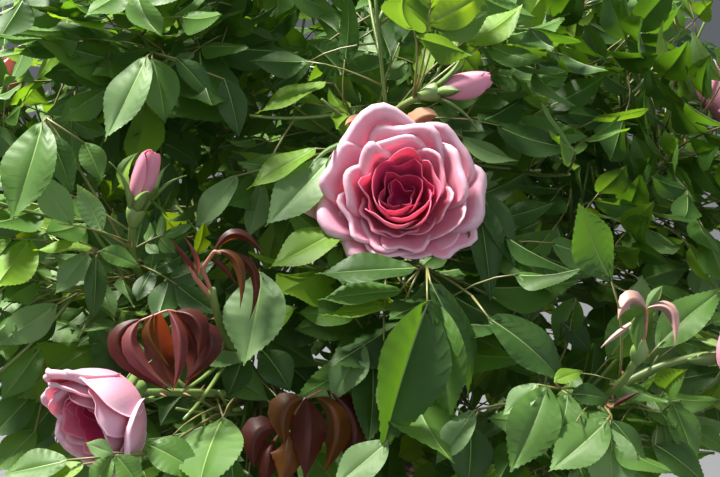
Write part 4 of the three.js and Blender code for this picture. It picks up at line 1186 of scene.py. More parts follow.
def makeLeafTree():
    graph, given = makeTree("leafSprays", {"Plumpness": ("NodeSocketFloat", 1.0)})
    stretch = graph.make("ShaderNodeCombineXYZ", None, {"X": 1.0, "Y": given["Plumpness"], "Z": 1.0})
    size = attribute(graph, "size", "FLOAT_VECTOR")
    scale = graph.make("ShaderNodeVectorMath", {"operation": "MULTIPLY"}, {0: size, 1: stretch})
    form, turn = attribute(graph, "form", "INT"), attribute(graph, "turn", "QUATERNION")
    sprays = setForms(graph, given, given["Geometry"], form, turn, scale)
    same = {"data_type": "INT", "operation": "EQUAL"}
    for number, name in enumerate(leafTints):
        chosen = graph.make("FunctionNodeCompare", same, {2: attribute(graph, "tint", "INT"), 3: number})
        sprays = setFinish(graph, sprays, "leaf_" + name, chosen)
    closeTree(graph, setFinish(graph, sprays, "rib", attribute(graph, "rib", "BOOLEAN")))
    return graph


tintNames = list(leafTints)
# Grown leaves draw a tint at random, so painted shade, painted sunlit tops and painted backlight fall on them
# by chance.
tintShares = (("dark", 0.34), ("middle", 0.78), ("pale", 0.92), ("bright", 1.0))


def leafTint(leaf, chance):
    draw = chance()
    return tintNames.index(leaf["tint"] or next(name for name, limit in tintShares if draw <= limit))


# One point for each leaflet, with its form, tint, size and turn
def leafletPoints(own, chance):
    rows = {"place": [], "form": [], "tint": [], "size": [], "turn": []}

    def add(place, form, tint, size, turn):
        for key, value in zip(rows, (place * metre, form, tint, [length * metre for length in size], turn)):
            rows[key].append(value)

    for leaf in own["leaves"]:
        if leaf["tint"] == "young":
            continue
        tint = leafTint(leaf, chance)
        near = leaf["base"][1] < leafletLook["nearFront"] and leaf["base"][2] > leafletLook["nearHeight"]
        for number, (kept, spots) in enumerate(zip(leaf["kept"], plan)):
            form = int(chance() * leafletLook["forms"])
            plump, roll = chance(*leafletLook["plump"]), chance(*leafletLook["roll"])
            if not kept or number == 0 and leaf.get("bare"):
                continue
            if leaf["tint"] and inWay(leafPoint(leaf, *spots.T), keptClear).any():
                continue
            foot, left, tip, right = leafPoint(leaf, spots[:4, 0], spots[:4, 1])
            heading = unit(tip - foot)
            side = left - right
            side = turned(unit(side - heading * np.dot(side, heading)), heading, roll)
            length = np.linalg.norm(tip - foot) * (leafletLook["placed"] if leaf["tint"] else 1)
            add(foot, form + (0 if near else leafletLook["forms"]), tint, (length, length * plump, length),
                quaternion(heading, side, np.cross(heading, side)))
    for row in frontSprays:
        for leaflet in row["leaflets"] if row["on"] == own["name"] else []:
            axes = leafFrame(leaflet["foot"], leaflet["tip"], unit(leaflet["light"]))
            form = 2 * leafletLook["forms"] + list(leafletLook["chosen"]).index(leaflet.get("form", "plain"))
            tint, long = tintNames.index(leaflet["tint"]), leaflet["long"]
            add(leaflet["foot"], form, tint, (long, long * leaflet["plump"], long),
                quaternion(axes["heading"], -axes["side"], axes["face"]))
    return rows


def makeLeaves(own, graph, forms):
    name = "leaves_" + own["name"]
    mesh = pointMesh(name, leafletPoints(own, Chance(own["seed"] + 7)))
    leaflets = len(mesh.vertices)
    made = runTree(graph, mesh, {"Forms": forms, "Plumpness": 1.0})
    made.polygons.foreach_set("use_smooth", [True] * len(made.polygons))
    addPiece(name, made, "foliage_" + own["name"])
    return leaflets, sum(len(p.vertices) - 2 for p in made.polygons)


leafForms = makeLeafletForms()
leafTree = makeLeafTree()
leafCounts, triangleCounts = zip(*[makeLeaves(shoot, leafTree, leafForms) for shoot in shoots])
dropForms(leafForms)
print("leaflets", sum(leafCounts), "triangles", sum(triangleCounts), "most", max(triangleCounts))


# Leaf stalks, green shoots and side twigs
stemLook = {
    "stalk": (1.0, 0.5), "twig": (1.5, 1.0), "placedTwig": 2.4, "sprayStalk": (1.0, 0.8),
    "leafletStalk": (0.8, 0.7, 0.6), "rise": 8,
}


def makeStems():
    stalks, twigs = Batch("leaf_stalks"), Batch("green_twigs")
    for own in shoots:
        for leaf in own["leaves"]:
            if leaf["tint"] != "young":
                s = np.linspace(0, 1 - leafRule["end"] + 0.02, 5)
                radii = np.linspace(*stemLook["stalk"], 5) * mix(0.6, 1, leaf["length"] / leafRule["length"])
                stalks.add(*tube(leafPoint(leaf, s, 0 * s), radii, 4))
        t = np.linspace(own["enter"] - 0.01, 1, 26)
        twigs.add(*tube(own["curve"].at(t), shootRadius(own, t), 8))
        for twig in own["twigs"]:
            twigs.add(*tube(twig.line(0, 1, 6), np.linspace(*stemLook["twig"], 6), 5))
        for row in placedTwigs:
            if row["on"] == own["name"]:
                base, tip = baseOf(row), vector(row["tip"])
                bow = (base + tip) / 2 + up * np.linalg.norm(tip - base) * 0.18
                line = Bezier(base, bow, tip).line(0, 1, 14)
                twigs.add(*tube(line, np.full(14, stemLook["placedTwig"]), 8))
    for row in frontSprays:
        base, way = baseOf(row), row["past"]
        curve = Bezier(base, (base + way) / 2 + up * stemLook["rise"], way)
        stalks.add(*tube(curve.line(0, 1, 7), np.linspace(*stemLook["sprayStalk"], 7), 5))
        for leaflet in row["leaflets"]:
            end = leaflet["foot"] + 0.02 * (leaflet["tip"] - leaflet["foot"])
            stalks.add(*tube(np.linspace(way, end, 3), stemLook["leafletStalk"], 5))
    stalks.piece(["stalk"], slot="leaf")
    twigs.piece(["stem"], slot="cane")


makeStems()
print("stems made")


# A young leaflet: two wings folded along its spine, which runs from foot to tip past the spot named
foldLook = {"stations": 17, "columns": 4, "open": (0.65, 1.35), "wave": 0.16, "teeth": 0.05, "widest": 0.42}


def addFolded(batch, row, finish, chance):
    foot, tip, past = vector(row["foot"]), vector(row["tip"]), vector(row["past"])
    shares = np.linspace(0, 1, foldLook["stations"])
    points = Bezier(foot, 2 * past - (foot + tip) / 2, tip).at(shares)
    opening, phase = chance(*foldLook["open"]), chance.turn()
    widest, columns = foldLook["widest"], foldLook["columns"]
    rising = np.sin(np.pi / 2 * np.clip(shares / widest, 0, 1)) ** 0.8
    falling = np.cos(np.pi / 2 * np.clip((shares - widest) / (1 - widest), 0, 1))
    wide = np.where(shares < widest, rising, np.maximum(0, falling) ** 1.1)
    half = row["half"] * np.maximum(0.02, wide)
    grid = []
    for point, heading, reach, share in zip(points, headingsAlong(points), half, shares):
        side = unit(np.cross(heading, eye - point))
        face = np.cross(side, heading)
        for k in range(-columns, columns + 1):
            w = k / columns
            wave = foldLook["wave"] * math.sin(9 * share + phase + (1.5 if k > 0 else 0)) * w * w
            lift = -opening * abs(w) + wave
            out = w * (1 + foldLook["teeth"] * math.sin(40 * share + phase) * w * w) * math.cos(0.5 * opening)
            grid.append(point + side * out * reach + face * lift * reach)
    batch.add(grid, quads(foldLook["stations"], 2 * columns + 1), finish)


def makeYoung():
    chance = Chance(313)
    names = ["burgundy", "mauve", "russet", "middle", "pale", "blush", "dried", "redStalk"]
    batch = Batch("young_leaves")
    for row in youngLeaves:
        addFolded(batch, row, names.index(row["tint"]), chance)
    for row in youngStalks:
        places = np.array([baseOf(row), *row["past"]], float)
        shares = np.linspace(0, len(places) - 1, 6 * len(places))
        line = np.stack([np.interp(shares, np.arange(len(places)), places[:, axis]) for axis in range(3)], 1)
        line[1:-1] = (line[:-2] + 2 * line[1:-1] + line[2:]) / 4
        radii = np.linspace(row["radius"], row["radius"] * 0.7, len(line))
        batch.add(*tube(line, radii, 6), names.index("redStalk"))
    batch.piece(["leaf_" + name if name in leafTints else name for name in names], slot="leaf")


makeYoung()
print("young leaves made")


# Canes and bud union with the bark's relief
barkLook = {"sides": 18, "step": 3.0, "relief": 0.45, "knot": 0.9, "knotEvery": 38, "knotHalf": 4}


def barkRelief(seed, points):
    def relief(i, angles):
        x, y, z = points[i]
        spots = [Vector((x * 0.12 + 3 * math.cos(angle), y * 0.12 + 3 * math.sin(angle), z * 0.05 + seed))
                 for angle in angles]
        ridge = np.array([noise.fractal(spot, 0.8, 2.0, 4) for spot in spots]) * barkLook["relief"]
        run = i * barkLook["step"] % barkLook["knotEvery"] - barkLook["knotEvery"] / 2
        return ridge + barkLook["knot"] * math.exp(-(run / barkLook["knotHalf"]) ** 2)

    return relief


def makeCanes():
    canes = Batch("bark_canes")
    for own in shoots:
        length = own["curve"].length(0, own["enter"])
        t = np.linspace(0, own["enter"], max(12, round(length / barkLook["step"])))
        points = own["curve"].at(t)
        canes.add(*tube(points, shootRadius(own, t), barkLook["sides"], barkRelief(own["number"], points)))
    canes.piece(["bark"], ["cane_" + shoot["name"] for shoot in shoots], "cane")


unionLook = {"radius": 21, "flare": 8, "height": 30, "base": 228.3, "sides": 48, "relief": 1.6}


def makeUnion():
    look = unionLook
    r, h, base = look["radius"], look["height"], look["base"]
    corners = [(r + look["flare"], 0), (r + 3, h * 0.12), (r, h * 0.35), (r * 0.94, h * 0.55),
               (r * 0.85, h * 0.75), (r * 0.68, h * 0.9), (r * 0.45, h), (r * 0.2, h * 1.02)]

    def knobbly(angle, radius, height):
        p = Vector((radius * math.cos(angle) * 0.09, radius * math.sin(angle) * 0.09, height * 0.05))
        lift = noise.fractal(p, 0.7, 2.0, 5) * look["relief"]
        return radius + lift * (0 if height <= base else 1), height

    profile = [(0, base), *[(x, base + z) for x, z in corners], (0, base + h * 1.02)]
    batch = Batch("bark_union")
    batch.add(*lathe(profile, look["sides"], knobbly))
    batch.piece(["bark"], "bud_union", "bark")


makeCanes()
makeUnion()
print("bark made")


# Prickles down the canes and green shoots, each a small hooked cone
prickleLook = {
    "every": 17, "length": (3.2, 5.6), "radius": 0.26, "sides": 6, "narrow": 0.6, "long": 1.7,
    "rows": ((0, 1, 0), (0.45, 0.5, -0.08), (0.8, 0.2, -0.24)), "hook": -0.42, "along": (0.06, 0.95),
    "sunk": 0.85,
}


def prickleForm():
    radius, sides, rows = prickleLook["radius"], prickleLook["sides"], prickleLook["rows"]
    points = []
    for height, width, drop in rows:
        for k in range(sides):
            angle = 2 * math.pi * k / sides
            points.append((height, radius * width * math.cos(angle) * prickleLook["narrow"],
                           radius * width * prickleLook["long"] * math.sin(angle) + drop))
    points.append((1, 0, prickleLook["hook"]))
    last = (len(rows) - 1) * sides
    faces = quads(len(rows), sides, True)
    faces += [(last + k, last + (k + 1) % sides, len(points) - 1) for k in range(sides)]
    return bpy.data.objects.new("prickleForm", plainMesh("prickleForm", points, faces))


def makePrickles():
    chance = Chance(505)
    rows = {"place": [], "turn": [], "size": []}
    for own in shoots:
        curve = own["curve"]
        count = curve.length(0, 1) / prickleLook["every"]
        for i in range(int(count)):
            t = mix(*prickleLook["along"], (i + chance()) / count)
            heading = curve.heading(t)
            out = turned(sideways(heading, tubeAcross), heading, chance.turn())
            rows["place"].append((curve.at(t) + out * shootRadius(own, t) * prickleLook["sunk"]) * metre)
            rows["turn"].append(quaternion(out, np.cross(heading, out), heading))
            rows["size"].append([chance(*prickleLook["length"]) * metre] * 3)
    graph, given = makeTree("prickleRows", {"Length": ("NodeSocketFloat", 1.0)})
    size, turn = attribute(graph, "size", "FLOAT_VECTOR"), attribute(graph, "turn", "QUATERNION")
    scale = graph.make("ShaderNodeVectorMath", {"operation": "SCALE"}, {0: size, "Scale": given["Length"]})
    closeTree(graph, setFinish(graph, setForms(graph, given, given["Geometry"], 0, turn, scale), "prickle"))
    collection = makeForms("prickleForms", [prickleForm()])
    made = runTree(graph, pointMesh("prickles", rows), {"Forms": collection, "Length": 1.0})
    dropForms(collection)
    addPiece("prickles", made, None)


makePrickles()
print("prickles made")


# Petals. Each is a patch of a bowl round the flower's axis, with a rim rolled outwards, and has a thickness.
petalRule = {
    "thick": 0.5, "edgeThick": 0.4, "rings": {"large": 9, "middle": 8, "small": 7}, "broad": 1.30,
    "petals": 5, "heartPetals": 3, "heart": 0.3, "firstRing": 0.4, "placedFrom": 0.48,
    "front": {"across": 18, "body": 11, "roll": 5}, "around": {"across": 12, "body": 8, "roll": 4},
}
# The main bloom's outer and middle petals. Turn and half span are in degrees, rim, height, coil and skew in
# millimetres. Bowl is the share of a quarter turn that a petal bends through, roll its rim's turn in radians.
mainPetals = listed(
    "turn span rim height bowl roll coil peak skew pale deepRim",
    (300, 33, 47, 27, 0.8, 3.4, 3.6, 0.1, 2.0),
    (242, 31, 45, 25, 0.62, 1.6, 3.0, 0.04, -2.0),
    (195, 30, 45, 17, 0.55, 2.8, 3.4, 0.0, 2.0),
    (162, 27, 46, 12, 0.5, 1.0, 3.0, 0.02, -1.5),
    (134, 33, 39, 10, 0.48, 0.6, 3.2, 0.02, 2.0),
    (92, 34, 34, 10, 0.5, 0.8, 3.2, 0.05, -2.0),
    (52, 31, 40, 10, 0.52, 2.2, 3.2, 0.0, 2.0),
    (22, 26, 44, 15, 0.62, 3.8, 3.2, 0.0, -2.0),
    (10, 17, 56, 4, 0.3, 0.8, 2.5, 0.22, 0.0),
    (345, 25, 42, 25, 0.8, 3.9, 2.8, 0.0, 1.5),
    (272, 35, 38, 29, 0.88, 2.9, 2.6, 0.0, 2.0),
    (222, 32, 36, 27, 0.84, 2.4, 2.4, 0.02, -2.0),
    (170, 33, 36, 18, 0.7, 0.9, 2.4, 0.03, 2.0),
    (116, 34, 31, 12, 0.66, 1.2, 2.4, 0.02, -1.5),
    (70, 30, 30, 12, 0.66, 1.6, 2.2, 0.0, 1.5),
    (33, 31, 34, 19, 0.8, 1.8, 2.0, 0.03, 2.0),
    (2, 26, 29, 25, 0.96, 3.6, 2.3, 0.0, -1.0),
    (285, 33, 31, 28, 0.95, 2.6, 2.0, 0.0, -2.0),
    (236, 33, 29, 26, 0.95, 1.4, 1.8, 0.02, 1.5),
    (190, 31, 28, 22, 0.92, 1.5, 1.8, 0.0, -1.5),
    (140, 35, 25, 15, 0.86, 1.0, 1.8, 0.0, 1.5),
    (92, 36, 23, 14, 0.86, 1.3, 1.8, 0.0, -1.5),
    (48, 33, 24, 16, 0.9, 1.6, 1.8, 0.0, 1.5),
    (318, 22, 24, 28, 1.0, 2.4, 4.6, 0.16, -1.0, 0.9, 0.32),
)


def flowerSpot(flower, x, y, height):
    x, y, height = (np.asarray(v, float)[..., None] for v in (x, y, height))
    return flower["base"] + x * flower["across"] + y * flower["beside"] + height * flower["face"]


# One petal's points in the flower's own space: rows run from foot to edge, columns from side to side
def petalSheet(shape, grid):
    u = np.sin(np.linspace(-np.pi / 2, np.pi / 2, grid["across"] + 1))[None, :]
    reach = 0.42 + 0.58 * (1 - np.abs(u) ** 3.4) ** 0.50 + shape["peak"] * (np.exp(-((u / 0.3) ** 2)) - 0.3)
    ragged = np.sin(5.3 * u + shape["phase"]) + 0.6 * np.sin(12 * u + 2 * shape["phase"])
    reach = reach + shape["ragged"] * ragged
    run = np.linspace(0, 1, grid["body"] + 1)[:, None] * reach
    full = np.pi / 2 * shape["bowl"]
    out = shape["foot"] + (shape["rim"] - shape["foot"]) * np.sin(full * run) / math.sin(full)
    climb = (shape["height"] - shape["start"]) * (1 - np.cos(full * run)) / (1 - math.cos(full))
    height = shape["start"] + climb
    out = out + shape["pinch"] * np.abs(u) ** 3 * smooth(0.3, 1, run)
    lean = np.arctan2(out[-1] - out[-2], height[-1] - height[-2])
    turns = shape["roll"] * (1 - 0.45 * np.abs(u) ** 4) * (1 + shape["uneven"] * u)
    for step in range(grid["roll"]):
        pace = shape["coil"] * turns / grid["roll"] * mix(1.25, 0.75, step / grid["roll"])
        lean = lean + turns / grid["roll"] * (0.5 if step == 0 else 1)
        out = np.concatenate([out, out[-1:] + np.sin(lean) * pace])
        height = np.concatenate([height, height[-1:] + np.cos(lean) * pace])
    rows = len(out)
    rise = np.concatenate([run, reach + np.zeros((rows - len(run), 1))])
    rolled = np.maximum(0, (np.arange(rows) - grid["body"]) / grid["roll"])[:, None]
    angle = u * shape["span"] * (0.72 + 0.28 * smooth(0, 0.6, rise))
    wave = np.sin(shape["waves"] * np.pi * u + shape["phase"]) * smooth(0.35, 1, rise) * shape["ruffle"]
    out = out + shape["skew"] * u * smooth(0.15, 0.8, rise) + wave
    height = height + 0.5 * wave + shape["tilt"] * u * smooth(0.2, 0.9, rise)
    side = smooth(0.72, 1, np.abs(u)) * smooth(0.3, 0.8, rise)
    brim = smooth(0.78, 1.0, rise / reach) * 0.35 + 0.65 * smooth(0, 0.4, rolled)
    edge = np.clip(np.maximum(0.85 * side, brim), 0, 1)
    return out * np.cos(angle), out * np.sin(angle), height, rise, edge


def addPetal(batch, flower, shape):
    x, y, height, rise, edge = petalSheet(shape, petalRule[flower["where"]])
    c, n = math.cos(shape["turn"]), math.sin(shape["turn"])
    grid = flowerSpot(flower, x * c - y * n, x * n + y * c, height)
    rows, columns = grid.shape[:2]
    normal = np.cross(np.gradient(grid, axis=1), np.gradient(grid, axis=0))
    normal /= np.maximum(np.linalg.norm(normal, axis=2), 1e-9)[..., None]
    middle = grid[rows // 2, columns // 2]
    axisSpot = flower["base"] + flower["face"] * np.dot(middle - flower["base"], flower["face"])
    inside = 1 if np.dot(normal[rows // 2, columns // 2], axisSpot - middle) > 0 else -1
    half = inside * petalRule["thick"] / 2 * np.ones((rows, 1, 1))
    half[-1] *= petalRule["edgeThick"]
    points = np.concatenate([(grid + normal * half).reshape(-1, 3), (grid - normal * half).reshape(-1, 3)])
    count = rows * columns
    faces = []
    for front in quads(rows, columns):
        back = tuple(corner + count for corner in front)
        faces += [front, back[::-1]] if inside > 0 else [front[::-1], back]
    numbers = np.arange(count).reshape(rows, columns)
    border = [*numbers[0], *numbers[1:, -1], *numbers[-1, -2::-1], *numbers[-2:0:-1, 0]]
    for a, b in zip(border, border[1:] + border[:1]):
        rim = (b, a, a + count, b + count)
        faces.append(rim if inside > 0 else rim[::-1])
    deep = np.clip(mix(shape["deepFoot"], shape["deepRim"], smooth(0.1, 1, rise)), 0, 1)
    deep = deep * (1 - shape["pale"] * edge)
    across = np.broadcast_to(np.linspace(0, 1, columns)[None, :], rise.shape)
    place = np.stack([across, rise, np.full(rise.shape, shape["turn"])], -1)
    batch.add(points, faces, depth=np.tile(deep.ravel(), 2), outside=np.repeat([0.0, 1.0], count),
              petalPlace=np.tile(place.reshape(-1, 3), (2, 1)))


# A petal at a share of the way out from the heart, with the small chances every petal has
def petalShape(radius, out, opened, chance):
    height = mix(0.32, 0.22 + (1 - opened) * 1.3, out) + 0.34 * math.sin(math.pi * out**0.9)
    return {
        "foot": radius * mix(0.015, 0.10, out), "start": radius * mix(0.10, 0.02, out),
        "rim": radius * mix(0.10, mix(0.80, 1.0, opened), out) * chance(0.94, 1.06),
        "height": radius * height * chance(0.92, 1.08),
        "bowl": mix(1.12, 0.58, out**1.3) * mix(1.5, 1, opened),
        "span": math.radians(mix(72, 44, out**0.5)) * chance(0.85, 1.15),
        "roll": mix(0.3, 2.9, smooth(0.15, 0.8, out)) * chance(0.3, 1.2),
        "coil": radius * mix(0.030, 0.070, out), "peak": chance(-0.03, 0.07),
        "skew": radius * 0.05 * chance(-1, 1), "tilt": radius * 0.075 * chance(-1, 1),
        "pinch": radius * chance(-0.07, 0.04) * out, "uneven": chance(-0.4, 0.4),
        "ruffle": radius * mix(0.055, 0.038, out) * chance(0.3, 1.3), "ragged": chance(0.006, 0.026),
        "waves": chance(1.0, 3.0), "phase": chance.turn(), "deepFoot": mix(1.0, 0.62, smooth(0.1, 0.9, out)),
        "deepRim": mix(0.92, 0.14, smooth(0.05, 0.75, out)), "pale": mix(0.05, 1.0, smooth(0.25, 0.8, out)),
    }


def addBloom(batch, flower, chance):
    radius, opened, large = flower["radius"], flower["open"], flower["size"] == "large"
    for row in mainPetals if large else []:
        shape = petalShape(radius, row["rim"] / radius, 1, chance)
        shape.update(row, turn=math.radians(row["turn"]), span=math.radians(row["span"] * petalRule["broad"]))
        addPetal(batch, flower, shape)
    rings = petalRule["rings"][flower["size"]]
    for ring in range(rings):
        out = 1 - (ring + petalRule["firstRing"]) / rings
        petals = petalRule["heartPetals"] if out < petalRule["heart"] else petalRule["petals"]
        for k in range(0 if large and out > petalRule["placedFrom"] else petals):
            shape = petalShape(radius, out * chance(0.95, 1.05), opened, chance)
            shape["turn"] = (k + 0.5 * (ring % 2)) * 2 * math.pi / petals + chance(-0.25, 0.25) + ring * 0.4
            if petals == petalRule["heartPetals"]:
                shape["span"] *= petalRule["petals"] / petals * chance(0.9, 1.12)
            else:
                shape["span"] *= chance(0.92, 1.15)
            addPetal(batch, flower, shape)


budRule = {"length": 1.2, "petals": 9, "span": (125, 95), "tip": (1.0, 0.97)}


def addBud(batch, flower, chance):
    length, opened = flowerSizes["bud"] * budRule["length"] * flower.get("scale", 1), flower["open"]
    for k in range(budRule["petals"]):
        out = 1 - k / budRule["petals"]
        shape = petalShape(length, out, opened, chance)
        shape.update({
            "turn": k * leafRule["goldenTurn"], "foot": length * 0.05, "start": length * 0.14,
            "span": math.radians(mix(*budRule["span"], out)),
            "rim": length * mix(0.03, 0.07 + 0.48 * opened, out),
            "height": length * mix(*budRule["tip"], out), "bowl": mix(1.84, 1.30, min(1, 2.2 * opened)),
            "roll": 3.2 * out * opened, "coil": length * 0.045, "peak": 0.10, "skew": length * 0.05,
            "pinch": 0, "ruffle": length * 0.014, "ragged": 0.008,
            "deepFoot": 0.34, "deepRim": 0.46, "pale": min(0.9, 1.8 * opened),
        })
        addPetal(batch, flower, shape)


# Sepals lean out from the hip, curl in their lower and upper half, and vary by their sway. A hip's profile
# has pairs of radius and height, as shares of the hip's size.
sepalLook = {
    "bloom": {"lean": 2.35, "length": 22, "curl": (0.05, 0.2), "start": (0.75, 0.45), "sway": (0.8, 1.15)},
    "bud": {"lean": 0.50, "length": 30, "curl": (0.04, 0.16), "start": (1.02, 0.7), "sway": (0.6, 1.3)},
    "hip": {"lean": 2.3, "length": 26, "curl": (0.1225, 0.1225), "start": (0.75, 0.45), "sway": (0.8, 1.15)},
}
hipProfiles = {
    "bloom": ((0, -1.5), (0.45, -1.45), (0.7, -1.0), (1, -0.3), (0.98, 0.2), (0.8, 0.5), (0.5, 0.6),
              (0, 0.6)),
    "bud": ((0, -1.9), (0.46, -1.85), (0.62, -1.4), (0.98, -0.7), (1.18, 0), (1.22, 0.5), (1.12, 0.9),
            (0.7, 1.15), (0, 1.15)),
    "hip": ((0, -1.6), (0.45, -1.55), (0.62, -1.2), (0.95, -0.6), (1.05, 0), (1, 0.5), (0.74, 0.95),
            (0.62, 1.15), (0.40, 1.5), (0.16, 1.9), (0, 2)),
}


def addSepals(batch, flower, chance):
    look, hip, steps = sepalLook[flower["kind"]], flower["hip"], 9
    for i in range(5):
        turn = i * 2 * math.pi / 5 + 0.4
        c, n = math.cos(turn), math.sin(turn)
        reach = look["length"] * chance(0.75, 1.2)
        widened = 1 + 0.8 * flower["open"] if flower["kind"] == "bud" else 1
        angle = look["lean"] * widened * chance(*look["sway"])
        out, height = hip * look["start"][0], hip * look["start"][1]
        points = []
        for step in range(steps):
            share = step / (steps - 1)
            belly = reach * 0.15 * math.sin(math.pi * min(1, 0.18 + 0.9 * share)) * (1 - share**2)
            half = max(0.18, belly + 0.35 * (1 - share))
            for side, lift in ((-1, 0.35 * half), (0, 0), (1, 0.35 * half), (0, -0.7)):
                radial, axial = out - math.cos(angle) * lift, height + math.sin(angle) * lift
                beside = side * half
                points.append(flowerSpot(flower, radial * c - beside * n, radial * n + beside * c, axial))
            out += math.sin(angle) * reach / (steps - 1)
            height += math.cos(angle) * reach / (steps - 1)
            angle += look["curl"][0 if share < 0.5 else 1]
        faces = [(a, d, c, b) for a, b, c, d in quads(steps, 4, True)]
        faces += [(0, 1, 2, 3), tuple((steps - 1) * 4 + k for k in (3, 2, 1, 0))]
        batch.add(points, faces)


def addHip(batch, flower):
    size, profile = flower["hip"], hipProfiles[flower["kind"]]
    points, faces = lathe([(radius * size, height * size) for radius, height in profile], 20)
    batch.add(flowerSpot(flower, points[:, 0], points[:, 1], points[:, 2]), faces)


def makeFlowers():
    chance = Chance(909)
    petals = {where: Batch("petals_" + where) for where in ("front", "around")}
    greens = Batch("sepals_and_hips")
    for flower in allFlowers:
        if flower["kind"] != "hip":
            addFlower = addBloom if flower["kind"] == "bloom" else addBud
            addFlower(petals[flower["where"]], flower, chance)
            addSepals(greens, flower, chance)
        addHip(greens, flower)
    for batch in petals.values():
        batch.piece(["petal"], slot="petal")
    greens.piece(["sepal"], slot="leaf")


makeFlowers()
print("flowers made")


# Container, with a rolled rim, recessed neck, ridge, faintly ribbed wall and drain holes
potLook = {
    "height": 250, "top": 140, "foot": 112, "wall": 2.6, "rim": 9, "neckDepth": 4.5, "neck": 24,
    "shoulder": 7, "sides": 192, "ribEvery": 4, "rib": 0.45, "sharp": 38,
    "drains": 4, "drainRadius": 11, "drainRise": 6,
}
ridgeFoot = potLook["height"] - potLook["rim"] - potLook["neck"] - potLook["shoulder"]


def wallRadius(height):
    return mix(potLook["foot"], potLook["top"] - potLook["neckDepth"] * 2, height / ridgeFoot)


def potMesh():
    look, wall, ridge = potLook, potLook["wall"], ridgeFoot
    foot, edge, top, rimBase = look["foot"], look["top"], look["height"], look["height"] - look["rim"]
    ridgeTop, neck = rimBase - look["neck"], edge - look["neckDepth"]
    rows = [(0, 2.2), (30, 2.2), (34, 0.6), (foot - 12, 0.6), (foot - 9, 0), (foot - 3, 0), (foot, 3.5)]
    rows += [(wallRadius(h), h) for h in np.linspace(12, ridge - 3, 9)]
    rows += [(wallRadius(ridge), ridge - 1), (neck + 1.2, ridge + 0.6), (neck + 2, ridge + 1.6),
             (neck + 2, ridgeTop - 1.6), (neck + 1.2, ridgeTop - 0.6), (neck - 1.3, ridgeTop),
             (neck - 1.3, ridgeTop + 2), (neck - 0.4, rimBase - 2), (neck, rimBase - 0.3),
             (edge - 0.8, rimBase), (edge, rimBase + 1), (edge, top - 2.2), (edge - 0.7, top - 0.7),
             (edge - 2.2, top), (neck - wall + 1.5, top), (neck - wall, top - 1.2), (neck - wall, rimBase),
             (neck - wall - 1.5, ridgeTop), (wallRadius(ridge) - wall, ridge)]
    rows += [(wallRadius(h) - wall, h) for h in np.linspace(ridge - 20, 12, 4)]
    rows += [(foot - wall - 1, wall + 3), (foot - wall - 5, wall + 0.4), (0, wall + 0.4)]

    def ribbed(angle, radius, height):
        number = round(angle / (2 * math.pi) * look["sides"])
        onWall = 10 < height < ridge - 6 and radius > wallRadius(height) - wall / 2
        return radius + (look["rib"] if onWall and number % look["ribEvery"] == 0 else 0), height

    points, faces = lathe(rows, look["sides"], ribbed)
    return plainMesh("nursery_container", (points * metre).tolist(), faces)


def makePot():
    look = potLook
    pot = bpy.data.objects.new("potWhole", potMesh())
    cutters = Batch("drainCutters")
    for i in range(look["drains"]):
        angle = (i + 0.5) * 2 * math.pi / look["drains"]
        out = np.array([math.cos(angle), math.sin(angle), 0.0])
        middle = out * look["foot"] + up * (look["drainRadius"] + look["drainRise"])
        cutters.add(*tube([middle + out * shift for shift in (-12, 12)], [look["drainRadius"]] * 2, 28))
    drains = bpy.data.objects.new("drainCutters", cutters.mesh())
    for thing in (pot, drains):
        scene.collection.objects.link(thing)
    modifier = pot.modifiers.new("drains", "BOOLEAN")
    modifier.object, modifier.operation, modifier.solver = drains, "DIFFERENCE", "EXACT"
    made = bpy.data.meshes.new_from_object(pot.evaluated_get(bpy.context.evaluated_depsgraph_get()))
    for thing in (pot, drains):
        bpy.data.objects.remove(thing)
    made.materials.clear()
    made.materials.append(finishes["pot"])
    made.polygons.foreach_set("use_smooth", [True] * len(made.polygons))
    made.set_sharp_from_angle(angle=math.radians(look["sharp"]))
    addPiece("nursery_container", made, "nursery_pot")


# Potting mix with a crumbly crowned top, and bark chips strewn on it
soilLook = {
    "top": 222, "crown": 6, "inside": 2.9, "bump": 1.6, "sides": 90, "rings": 26,
    "chips": 950, "chip": (5, 15), "chipForms": 7, "tilt": 0.45, "paleShare": 0.3, "seed": 12,
}


def soilTop(x, y):
    edge = wallRadius(soilLook["top"] - 12) - soilLook["inside"] - 2
    level = soilLook["top"] + soilLook["crown"] * (1 - smooth(35, edge, math.hypot(x, y))) - 1.5
    return float(level) + noise.fractal(Vector((x, y, 0)) * 0.06, 0.8, 2.0, 4) * soilLook["bump"]


def makeSoil():
    inside, sides, anyHeight = soilLook["inside"], soilLook["sides"], 300
    edge = min(wallRadius(ridgeFoot), potLook["top"] - 2 * potLook["neckDepth"]) - inside - 1
    rows = [(0, inside), (potLook["foot"] - 7, inside), (potLook["foot"] - inside - 0.6, inside + 5),
            (wallRadius(ridgeFoot) - inside - 0.6, ridgeFoot), (edge, soilLook["top"] - 2)]
    rows += [(edge * share, anyHeight) for share in np.linspace(0.97, 0.04, soilLook["rings"])]
    points, faces = lathe([*rows, (0, anyHeight)], sides)
    patch, patchFaces = lathe([(edge * share, anyHeight) for share in np.linspace(0.96, 0.23, 14)], sides)
    for point in (*points, *patch):
        if point[2] == anyHeight:
            point[2] = soilTop(point[0], point[1])
    batch = Batch("potting_mix")
    batch.add(points, faces)
    batch.piece(["soil"], "potting_soil", "soil")
    return plainMesh("chipGround", (patch * metre).tolist(), patchFaces, False)


